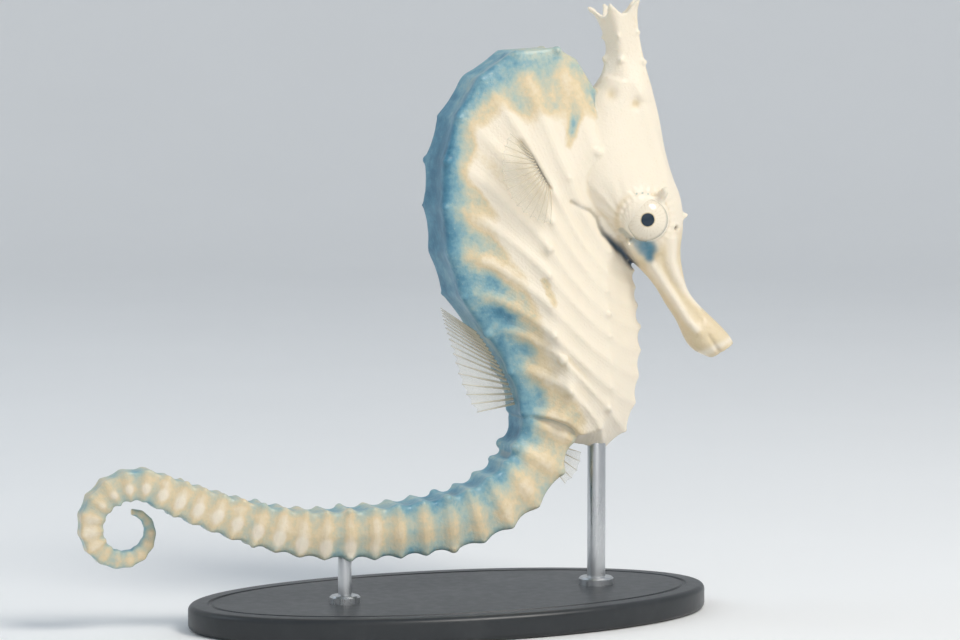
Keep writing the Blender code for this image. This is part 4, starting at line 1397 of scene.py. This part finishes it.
    def wrinkles(self, side_plane: Array) -> Array:
        """Height of the fine folds round the eye and of the gill cover's spread lines."""
        gap = gap_to(side_plane, self.head.eye_centre)
        rays = np.cos(26 * turn_about(side_plane, self.head.eye_centre))
        folds = 0.05 * rays * near(gap - 3.45, 0.50) - 0.10 * near(gap - 3.02, 0.16)
        cover = near(gap_to(side_plane, self.cheek_middle), 3.2, 4.0)
        fan = np.cos(22 * turn_about(side_plane, self.cheek_root))
        return folds + 0.055 * fan * cover * eased(gap, 3.4, 4.4)

    def write_marks(self, body: bpy.types.Object, marks: dict[str, Array], edges: Array,
                    hollow: Array, dark: Array, own: Array) -> None:
        """Works out the colour marks, most of them painted shade, and keeps them on the mesh."""
        region = np.round(marks["region"])
        on_trunk, on_tail = region == Region.TRUNK.value, region == Region.TAIL.value
        # Painted shade: the head is cream, darker towards the rear of its top and of the crown.
        head = 1.12 - 0.34 * eased(marks["back"], 0.2, 0.9) * eased(own[:, 2], 60.0, 64.0)
        tone = np.select([on_trunk, on_tail],
                         [self.trunk_tone_and_shade(marks, own), self.tail_tone_and_shade(marks)], head)
        shade = np.where(on_trunk, eased(-tone, -0.95, -0.35), 0.0)
        shade = np.where(on_tail, 0.5 * eased(-tone, -0.9, -0.3), shade)
        pale = np.where(on_tail, self.tail_spots(marks), 0.0)
        keep(body.data, {
            "tone": averaged(np.clip(tone, 0.0, 1.15), edges, 5),
            "hollow": np.clip(averaged(hollow, edges, 2) / 0.10, -1, 1),
            "pale": averaged(np.clip(pale, 0, 1), edges, 3),
            "shade": averaged(shade, edges, 6),
            "dark": averaged(dark, edges, 1),
            "along": marks["along"],
            "body": averaged((region <= Region.TAIL.value).astype(float), edges, 6) ** 3,
        })

    def trunk_tone_and_shade(self, marks: dict[str, Array], own: Array) -> Array:
        """Painted shade of the trunk and neck: blue along the back, then tan, then a cream belly,
        lighter on the ring bars and darker in the hollows.
        """
        along, back = marks["along"], marks["back"]
        places, *reaches = np.array(self.shade_bands).T
        grey_green, tan, cream = (np.interp(along, places, reach) for reach in reaches)
        start = 0.11 + 0.17 * eased(-along, -4.4, -2.4) + 0.13 * eased(-along, -2.6, -1.6)
        start = start + 0.12 * eased(along, 7.6, 8.8)
        trunk = start + (0.36 - start) * eased(back, 0.0, grey_green)
        trunk = trunk + 0.24 * eased(back, grey_green, tan)
        trunk = trunk + 0.42 * eased(back, tan + 0.35 * (cream - tan), cream + 0.6)
        # Painted shade: darker in the hollows between the rings, most so near ring 7, and lighter
        # on the ring bars.
        cell_shade = (0.08 + 0.20 * near(along - 7.4, 1.9, 4.0)) * marks["cell"]
        trunk = trunk + 0.10 * marks["ring"] * eased(back, 0.5, 2.5) - cell_shade
        for streak in self.streaks:
            gap, share = to_path(own[:, [0, 2]], streak.path)
            drawn = near(gap, streak.first + (streak.last - streak.first) * share, 4.0)
            trunk = trunk - np.maximum(trunk - streak.tone, 0.0) * drawn
        return trunk

    @staticmethod
    def tail_tone_and_shade(marks: dict[str, Array]) -> Array:
        """Painted shade of the tail: tan sides, bluer along both edges and most so near its root,
        lighter on the rings and darker between them.
        """
        along, back = marks["along"], marks["back"]
        tail = 0.62 - 0.26 * eased(back, 0.30, 0.92) - 0.22 * eased(-back, 0.45, 0.9)
        tail = tail - 0.20 * eased(-along, -9.5, -5.0) * eased(-back, -0.1, 0.75)
        return tail + 0.06 * marks["ring"] - 0.12 * marks["cell"]

    @staticmethod
    def tail_spots(marks: dict[str, Array]) -> Array:
        """Strength of the pale spots, one on each ring along the side of the tail."""
        along, ring = marks["along"], marks["ring"]
        spots_at = 0.10 + 0.35 * eased(-along, -16.0, -9.0)
        spots = 1.4 * ring * near(marks["back"] - spots_at, 0.30)
        spots = spots * (0.10 + 0.90 * eased(along, 6.5, 10.0)) * eased(along, 1.0, 3.0)
        return spots * (0.25 + 0.75 * eased(-along, -25.0, -18.0))

    def write_head_marks(self, body: bpy.types.Object, edges: Array, straight: Array,
                         is_head: Array, station: Array) -> None:
        """Keeps the marks for the gill cover's lines, the eye's surround and the snout, with
        painted shade behind and under the eye, on the snout, under the chin and in the dimples.
        """
        side_plane = straight[:, [0, 2]]
        orbit_gap = gap_to(side_plane, self.head.orbit_centre)
        turn = turn_about(side_plane, self.head.orbit_centre)
        cover = near(gap_to(side_plane, self.cheek_middle), 3.4, 4.0)
        cheek = eased(np.abs(straight[:, 1]), *self.sideways) * is_head
        behind = near(turn % (2 * math.pi) - math.pi, 1.05, 4.0)
        # Painted shade: a crescent behind the eye, where the orbit's groove lies.
        crescent = near(orbit_gap - 2.95, 0.30) * behind * cheek
        # Painted shade: tan over the snout tube and under the chin, cleared along the lit snout
        # ridges, and in the dimples.
        tube_tan = eased(station, 4.7, 5.6) * (1 - eased(station, 10.9, 11.4))
        chin = near(station - 12.1, 0.5, 4.0) * eased(-straight[:, 2], -33.2, -31.8)
        tube_tan = np.maximum(tube_tan, chin)
        for ridge in self.snout_ridges:
            gap, share = to_path(side_plane, ridge.path)
            tube_tan = tube_tan * (1 - near(gap, 0.78 - 0.35 * share, 4.0) * (share < 0.97))
        for x, z, size in self.dimples:
            shaded = near(gap_to(side_plane, (x, z)), 0.7 * size)
            tube_tan = np.maximum(tube_tan, 0.8 * shaded * cheek)
        # Painted shade: blue in the hollow under the eye.
        hollow_gap, share = to_path(side_plane, self.eye_hollow)
        wide = 0.28 + 0.80 * eased(share, 0.25, 0.75) - 0.45 * eased(share, 0.8, 1.0)
        keep(body.data, {
            "orbit_gap": orbit_gap,
            "orbit_turn": turn,
            "brow": near(turn - math.radians(88), math.radians(23), 8.0) * is_head,
            "cheek_turn": turn_about(side_plane, self.cheek_root) % (2 * math.pi),
            "cheek": averaged(cover * is_head, edges, 2),
            "tan": averaged(np.maximum(0.9 * crescent, tube_tan * is_head), edges, 2),
            "blue": near(hollow_gap, wide, 4.0) * cheek * (0.35 + 0.65 * eased(share, 0.2, 0.7)),
        })


# ---- Eyes ----
@dataclass(frozen=True)
class EyeFinish:
    """A cream iris with fine streaks round a small navy pupil, under a wet gloss."""

    pupil: Colour = (0.003, 0.020, 0.042)
    ring: Colour = (0.660, 0.540, 0.340)
    iris: Colour = (0.850, 0.765, 0.620)
    streak: Colour = (0.690, 0.580, 0.420)
    edge: Colour = (0.480, 0.440, 0.350)

    def make(self) -> bpy.types.Material:
        """Builds the material on the eye's own marks: angle from its axis and round it."""
        desk = Desk("seahorse_eye")
        reach = desk.mark("reach")
        wobble = (desk.cloud(0.35, 2.0) - 0.5) * 0.05
        streaks = desk.cloud(0.28, 3.0, 0.6)
        rays = (desk.mark("fan") * 26 + streaks * 9).waved()
        colour = desk.mix(rays.above(0.1, 1.0) * streaks.above(0.4, 0.7) * 0.55,
                          self.iris, self.streak)
        colour = desk.mix((reach + wobble).above(0.86, 1.04), colour, self.edge)
        colour = desk.mix((reach + wobble).below(0.33, 0.39), colour, self.ring)
        colour = desk.mix((reach + wobble * 0.6).below(0.300, 0.335), colour, self.pupil)
        return desk.surface(colour, 0.16 + streaks * 0.06, Coat_Weight=0.55, Coat_Roughness=0.04,
                            IOR=1.36)


@dataclass
class Eyes:
    """Two flattened balls, set as deep as real ones behind the lids."""

    head: HeadForm
    turns: int = 96
    visible: float = 2.5           # millimetres of the ball that show round its axis

    def build(self, word: str, side: int) -> bpy.types.Object:
        """One eye.

        Args:
            word: right or left.
            side: -1 for right and 1 for left.

        Returns:
            The eye's object.
        """
        radius, deep = self.head.eye_radius, self.head.eye_half_depth
        shell = ball((0.0, 0.0, 0.0), (radius, deep, radius), self.turns)
        x, y, z = shell.points.T
        flat = np.hypot(x, z)
        inner = eased(side * y, 0.0, 0.2)
        shell.marks["reach"] = np.where(inner > 0, flat / self.visible, 2.0)
        shell.marks["fan"] = np.arctan2(z, x)
        shell.points = BENCH.turned(shell.points + self.head.eye_middle(side))
        eye = new_object(f"seahorse_eye_{word}", shell)
        dress(eye, EyeFinish().make())
        return eye


# ---- Fins ----
@dataclass(frozen=True)
class FinFinish:
    """A thin clear membrane, or the paler rays in it."""

    name: str
    colour: Colour
    edge: Colour
    alpha: float

    def make(self) -> bpy.types.Material:
        """Builds the material; it clears towards the fin's edge."""
        desk = Desk(self.name)
        fleck = desk.cloud(0.8, 4.0, 0.6)
        far = desk.mark("reach")
        colour = desk.mix(far.above(0.2, 1.0) * 0.7 + fleck.above(0.5, 0.75) * 0.3,
                          self.colour, self.edge)
        alpha = self.alpha * (1 - far * 0.35) + (fleck - 0.5) * 0.12
        ripples = desk.relief(desk.cloud(0.4, 3.0), 0.05)
        return desk.surface(colour, 0.28 + fleck * 0.2, Alpha=alpha, Normal=ripples,
                            Coat_Weight=0.4, Coat_Roughness=0.15,
                            Subsurface_Weight=0.15, Subsurface_Radius=(0.6, 0.5, 0.4),
                            Subsurface_Scale=0.001)


MEMBRANE = FinFinish("fin_membrane", (0.70, 0.64, 0.50), (0.78, 0.74, 0.62), 0.24)
RAY = FinFinish("fin_ray", (0.76, 0.66, 0.48), (0.86, 0.80, 0.66), 0.80)


@dataclass
class Fan:
    """One fin: a ruffled membrane over rays that lean from its root to its edge."""

    name: str
    roots: Array                   # one row for each ray
    tips: Array
    bow: Array                     # how far each ray bows sideways halfway
    steps: int = 12
    thickness: float = 0.16
    ray_radius: float = 0.15
    ruffle: float = 0.10
    ray_spread: int = 4            # membrane strips between two rays
    scallop: float = 0.06          # share by which the edge draws back between two rays
    edge_thinning: float = 0.55
    ray_tip: float = 0.35          # share of a ray's radius that its tip has

    def grid(self) -> Array:
        """Points of the membrane as (ray, step, xyz)."""
        count = len(self.roots)
        fine = np.linspace(0, count - 1, (count - 1) * self.ray_spread + 1)
        roots, tips, bow = (Line(part).at_place(fine) for part in (self.roots, self.tips, self.bow))
        reach = np.linspace(0, 1, self.steps + 1)[None, :, None]
        between = np.sin(math.pi * fine)[:, None, None] ** 2
        drawn = reach * (1 - self.scallop * between * reach ** 6)
        return (roots[:, None] * (1 - drawn) + tips[:, None] * drawn
                + bow[:, None] * (4 * reach * (1 - reach)))

    def across(self, grid: Array) -> Array:
        """Unit directions square to the membrane."""
        return unit(np.cross(np.gradient(grid, axis=0), np.gradient(grid, axis=1)))

    def build(self) -> bpy.types.Object:
        """The membrane and its rays as one piece."""
        grid = self.grid()
        rows, columns = grid.shape[:2]
        way = self.across(grid)
        wave = np.sin(math.pi * np.linspace(0, rows - 1, rows) / self.ray_spread)[:, None, None]
        reach = np.linspace(0, 1, columns)[None, :, None]
        grid = grid + way * wave * reach * self.ruffle
        half = self.thickness / 2 * (1 - self.edge_thinning * reach)
        front, rear = grid + way * half, grid - way * half
        points = np.concatenate([front.reshape(-1, 3), rear.reshape(-1, 3)])
        faces = self.plate_faces(rows, columns)
        far = np.tile(np.linspace(0, 1, columns), 2 * rows)
        fin = new_object(self.name, Shell(points, faces, {"reach": far}))
        dress(fin, MEMBRANE.make())
        merged(fin, self.rays(grid[::self.ray_spread]))
        face_outwards(fin)
        return fin

    @staticmethod
    def plate_faces(rows: int, columns: int) -> list[tuple[int, ...]]:
        """Faces of a closed plate over two grids of points."""
        under = rows * columns
        faces: list[tuple[int, ...]] = []
        for row in range(rows - 1):
            for column in range(columns - 1):
                a = row * columns + column
                b, c, d = a + 1, a + columns + 1, a + columns
                faces += [(a, b, c, d), (under + d, under + c, under + b, under + a)]
        rim = list(range(columns))
        rim += [row * columns + columns - 1 for row in range(1, rows)]
        rim += [(rows - 1) * columns + column for column in range(columns - 2, -1, -1)]
        rim += [row * columns for row in range(rows - 2, 0, -1)]
        for one, two in zip(rim, rim[1:] + rim[:1]):
            faces.append((one, under + one, under + two, two))
        return faces

    def rays(self, lines: Array) -> bpy.types.Object:
        """The rays, grown by nodes from plain lines of points."""
        count, columns = lines.shape[:2]
        mesh = bpy.data.meshes.new(self.name + "_rays")
        edges = [(ray * columns + k, ray * columns + k + 1)
                 for ray in range(count) for k in range(columns - 1)]
        mesh.from_pydata(BENCH.metres(lines.reshape(-1, 3)).tolist(), edges, [])
        keep(mesh, {"reach": np.tile(np.linspace(0, 1, columns), count)})
        rays = linked(self.name + "_rays", mesh)
        return ray_tree().grow(rays, Root_radius=self.ray_radius * MM, Tip_share=self.ray_tip,
                               Material=RAY.make())


@dataclass
class Fins:
    """The fins of the back and of both cheeks, and the small one under the tail's root."""

    trunk: TrunkForm
    tail: TailForm
    dorsal_rings: tuple[float, float] = (8.95, 10.75)
    dorsal_height: float = 6.4
    dorsal_rays: int = 17
    dorsal_lean: tuple[float, float] = (-0.15, 0.75)    # of the first and last ray
    pectoral_root: tuple = ((-11.2, 55.4), (-8.6, 50.8))
    pectoral_length: float = 5.2
    pectoral_fan: tuple[float, float] = (142.0, 262.0)
    pectoral_out: float = 6.15
    pectoral_rays: int = 15
    anal_rings: tuple[float, float] = (0.35, 1.0)
    anal_height: float = 2.3
    anal_rays: int = 5
    sunk: float = 0.35             # how far a fin's root lies in the body

    def dorsal(self) -> Fan:
        """The fan on the back where the trunk meets the tail."""
        share = np.linspace(0, 1, self.dorsal_rays)
        ring = self.dorsal_rings[0] + (self.dorsal_rings[1] - self.dorsal_rings[0]) * share
        back, belly, _ = self.trunk.ends(ring)
        outward = unit(back - belly)
        along = self.trunk.back.heading(ring / self.trunk.rings)
        lean = self.dorsal_lean[0] + np.ptp(self.dorsal_lean) * share
        lean = unit(outward + along * lean[:, None])
        height = self.dorsal_height * (0.55 + 0.45 * np.sin(math.pi * (0.12 + 0.80 * share)))
        root = back - outward * self.sunk
        tip = back + outward * 0.5 + lean * height[:, None]
        bow = np.zeros((len(share), 3))
        bow[:, 1] = 0.25 * np.sin(2 * math.pi * share)
        return Fan("dorsal_fin_skin", in_plane(root), in_plane(tip), bow)

    def pectoral(self, word: str, side: int) -> Fan:
        """The small rounded fan behind one cheek; side is -1 for right and 1 for left."""
        share = np.linspace(0, 1, self.pectoral_rays)
        top, bottom = np.array(self.pectoral_root)
        root = top + np.outer(share, bottom - top)
        first, last = np.radians(self.pectoral_fan)
        angle = first + (last - first) * share
        direction = np.stack([np.cos(angle), np.sin(angle)], axis=1)
        length = self.pectoral_length * (0.72 + 0.28 * np.sin(math.pi * share))
        tip = root + direction * length[:, None]
        out = side * (self.pectoral_out + 0.9 + 0.4 * np.sin(math.pi * share))
        bow = np.zeros((len(share), 3))
        bow[:, 1] = side * 0.30
        root_out = np.full(len(share), side * (self.pectoral_out - 0.45))
        return Fan(f"pectoral_fin_skin_{word}", in_plane(root, root_out), in_plane(tip, out), bow,
                   ray_radius=0.085, thickness=0.12, ruffle=0.05)

    def anal(self) -> Fan:
        """The tiny fan under the root of the tail."""
        share = np.linspace(0, 1, self.anal_rays)
        ring = self.anal_rings[0] + (self.anal_rings[1] - self.anal_rings[0]) * share
        place = self.tail.share(ring)
        heading = self.tail.centre.heading(place)
        down = quarter_turned(heading)
        centre, radius = self.tail.centre.at(place), self.tail.radius(place)[:, None]
        way = unit(down + heading * (0.7 * share - 0.1)[:, None])
        height = (self.anal_height * (0.8 + 0.2 * np.sin(math.pi * share)))[:, None]
        root = centre + down * (radius - self.sunk)
        tip = centre + down * (radius + 0.15) + way * height
        return Fan("anal_fin_skin", in_plane(root), in_plane(tip), np.zeros((len(share), 3)),
                   ray_radius=0.09, thickness=0.12, ruffle=0.04)


# ---- Stand ----
@dataclass(frozen=True)
class StandFinish:
    """Satin black lacquer of the base, or the brushed steel of the rods."""

    name: str
    colour: Colour
    worn: Colour
    roughness: float
    metallic: float
    grain: Colour                  # stretch of the brushing along x, y and z

    def make(self) -> bpy.types.Material:
        """Builds the material."""
        desk = Desk(self.name)
        brushed = desk.cloud(1.1, 5.0, 0.65, desk.places(self.grain))
        dust = desk.cloud(9.0, 4.0, 0.6)
        colour = desk.mix(dust.above(0.45, 0.75) * 0.5 + brushed.above(0.5, 0.8) * 0.3,
                          self.colour, self.worn)
        rough = self.roughness + (brushed - 0.5) * 0.16 + (dust - 0.5) * 0.12
        relief = desk.relief(brushed, 0.012)
        return desk.surface(colour, rough, Metallic=self.metallic, Normal=relief)


LACQUER = StandFinish("stand_lacquer", (0.018, 0.021, 0.024), (0.040, 0.043, 0.047), 0.36, 0.0,
                      (1.0, 1.0, 1.0))
STEEL = StandFinish("stand_steel", (0.60, 0.61, 0.62), (0.48, 0.49, 0.50), 0.30, 1.0,
                    (6.0, 6.0, 0.4))


@dataclass
class Stand:
    """A flat oval base and the two rods that hold the animal."""

    edge: float = 0.7              # millimetres, rounding of the base's rim
    # How far inside the rim each corner of the groove lies, and how deep.
    groove: tuple = ((2.2, 0.0), (2.35, 0.18), (2.75, 0.18), (2.9, 0.0))
    flat_from: float = 6.0
    sides: int = 160
    rod_sides: int = 40
    collar: tuple[float, float] = (1.0, 0.9)        # width and height of a rod's foot ring
    sharp: float = 38.0            # degrees from which a corner stays sharp

    def base(self) -> bpy.types.Object:
        """The base, with a rounded rim and a shallow groove inside it."""
        low, high = (np.array(corner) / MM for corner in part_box("stand_base"))
        middle, half = (low + high) / 2, (high - low) / 2
        thick = high[2] - low[2]
        rim = [(self.edge * (1 - math.sin(t)), self.edge * (1 - math.cos(t)))
               for t in np.linspace(0, math.pi / 2, 7)]
        rows = [(self.flat_from, 0.0), *rim]    # how far inside the rim, and how high
        rows += [(inset, thick - height) for inset, height in reversed(rim)]
        rows += [(inset, thick - sunk) for inset, sunk in self.groove]
        rows += [(self.flat_from, thick)]
        rows = [(half[0] - cut, half[1] - cut, low[2] + up) for cut, up in rows]
        return self.turned("stand_base_plate", oval_rings(rows, self.sides, middle), LACQUER)

    def rod(self, word: str) -> bpy.types.Object:
        """One rod, with a small foot ring on the base."""
        low, high = (np.array(corner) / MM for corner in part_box(f"stand_rod_{word}"))
        middle, radius = (low + high) / 2, (high[0] - low[0]) / 2
        foot = float(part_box("stand_base")[1].z) / MM
        wide, tall = radius + self.collar[0], self.collar[1]
        rows = [(wide, foot - 0.3), (wide, foot + tall - 0.2), (wide - 0.2, foot + tall),
                (radius + 0.05, foot + tall), (radius, foot + tall + 0.05),
                (radius, high[2] - 0.25), (radius - 0.08, high[2] - 0.08),
                (radius - 0.25, high[2])]
        rows = [(out, out, up) for out, up in rows]
        return self.turned(f"stand_rod_{word}_steel", oval_rings(rows, self.rod_sides, middle),
                           STEEL)

    def turned(self, name: str, rings: Array, finish: StandFinish) -> bpy.types.Object:
        """A piece skinned over level rings, with its sharp corners kept.

        Args:
            name: the piece's name.
            rings: its points as (ring, side, xyz), in the frame's millimetres.
            finish: what it is made of.

        Returns:
            The piece.
        """
        shell = Shell.lofted(rings)
        shell.points = shell.points * MM
        piece = new_object(name, shell, in_metres=True)
        dress(piece, finish.make())
        piece.data.set_sharp_from_angle(angle=math.radians(self.sharp))
        return piece


# ---- Floor, lights and camera ----
@dataclass
class Studio:
    """A pale floor that curves up into a backdrop all round, soft lights and the camera."""

    azimuth: float = -20.0         # degrees; 0 looks along +Y
    elevation: float = 5.0
    distance: float = 0.42         # metres from the camera to the aim
    width: float = 0.1152          # metres seen across the picture at the aim
    aim_height: float = 0.03494
    aim_right: float = -0.0144     # metres to the right of the rod's plane
    light_aim: float = 0.04        # metres above the floor
    floor_radius: float = 0.55
    bowl_radius: float = 0.85
    bowl_height: float = 0.9
    floor_sides: int = 96
    drop: float = 1e-5             # of the floor below the stand's underside

    def floor(self) -> None:
        """The floor, curving up into a backdrop."""
        rows = [(0.02, 0.0), (0.2, 0.0), (self.floor_radius, 0.0)]
        bend = self.bowl_radius - self.floor_radius
        for turn in np.linspace(0.12, math.pi / 2, 14):
            rows.append((self.floor_radius + bend * math.sin(turn), bend * (1 - math.cos(turn))))
        rows.append((self.bowl_radius, self.bowl_height))
        rings = oval_rings([(out, out, up - self.drop) for out, up in rows], self.floor_sides)
        shell = Shell.lofted(rings, closed=False)
        shell.faces.append(tuple(reversed(range(self.floor_sides))))
        mesh = bpy.data.meshes.new("floor")
        mesh.from_pydata(shell.points.tolist(), [], shell.faces)
        mesh.shade_smooth()
        floor = linked("floor", mesh)
        desk = Desk("studio_floor")
        cloud = desk.cloud(60.0, 3.0)
        colour = desk.mix(cloud, (0.88, 0.88, 0.87), (0.91, 0.91, 0.90))
        dress(floor, desk.surface(colour, 0.75))

    def area(self, name: str, azimuth: float, elevation: float, distance: float, size: float,
             power: float, colour: Colour) -> None:
        """A soft square light aimed at the animal.

        Args:
            name: the light's name.
            azimuth: degrees round the animal; 0 stands on the camera's side, along -Y.
            elevation: degrees above the floor.
            distance: metres from the animal.
            size: metres along the light's side.
            power: watts.
            colour: its tint.
        """
        light = bpy.data.lights.new(name, "AREA")
        light.size, light.energy, light.color = size, power, colour
        lamp = linked(name, light)
        a, e = math.radians(azimuth), math.radians(elevation)
        aim = Vector((0.0, 0.0, self.light_aim))
        lamp.location = aim + distance * Vector((math.sin(a) * math.cos(e),
                                                 -math.cos(a) * math.cos(e), math.sin(e)))
        aimed(lamp, aim)

    def lights(self) -> None:
        """A key from the upper right, a cool fill from the left and a pale room."""
        self.area("key", 30, 46, 0.55, 0.20, 1.9, (1.0, 0.965, 0.91))
        self.area("front_fill", -12, 12, 0.75, 0.50, 0.5, (1.0, 0.97, 0.93))
        self.area("cool_rim", -115, 34, 0.60, 0.35, 0.7, (0.72, 0.86, 1.0))
        world = bpy.data.worlds.new("room")
        world.use_nodes = True
        background = world.node_tree.nodes["Background"]
        background.inputs["Color"].default_value = (0.80, 0.88, 1.0, 1.0)
        background.inputs["Strength"].default_value = 0.50
        bpy.context.scene.world = world
        bpy.context.scene.view_settings.view_transform = "Standard"

    def camera(self) -> None:
        """The camera."""
        a, e = math.radians(self.azimuth), math.radians(self.elevation)
        ahead = Vector((-math.sin(a), math.cos(a), 0.0))
        right = Vector((math.cos(a), math.sin(a), 0.0))
        aim = Vector((BENCH.shift * MM, 0.0, self.aim_height)) + right * self.aim_right
        lens = bpy.data.cameras.new("camera")
        lens.sensor_width = 36.0
        lens.lens = lens.sensor_width * self.distance / self.width
        lens.clip_start, lens.clip_end = 0.01, 20.0
        camera = linked("camera", lens)
        camera.location = aim - ahead * self.distance * math.cos(e)
        camera.location.z = self.aim_height + self.distance * math.sin(e)
        aimed(camera, aim)
        bpy.context.scene.camera = camera


# ---- Assembly ----
def main() -> None:
    """Builds the whole display model in order."""
    logging.basicConfig(level=logging.INFO, format="%(name)s: %(message)s")
    trunk, tail, head, crown = TrunkForm(), TailForm(), HeadForm(), CrownForm()
    skin = Skin(trunk, tail, head, crown)
    stand_for(skin.build(), "skin", *skin.nodes)
    eyes = Eyes(head)
    fins = Fins(trunk, tail)
    stand_for(fins.dorsal().build(), "fin", "dorsal_fin")
    stand_for(fins.anal().build(), "fin", "anal_fin")
    for word, side in (("right", -1), ("left", 1)):
        stand_for(eyes.build(word, side), "eye", f"eye_{word}")
        stand_for(fins.pectoral(word, side).build(), "fin", f"pectoral_fin_{word}")
    stand = Stand()
    stand_for(stand.base(), "base", "stand_base")
    for word in ("trunk", "tail"):
        stand_for(stand.rod(word), "rod", f"stand_rod_{word}")
    studio = Studio()
    studio.floor()
    studio.lights()
    studio.camera()


if __name__ == "__main__":
    main()
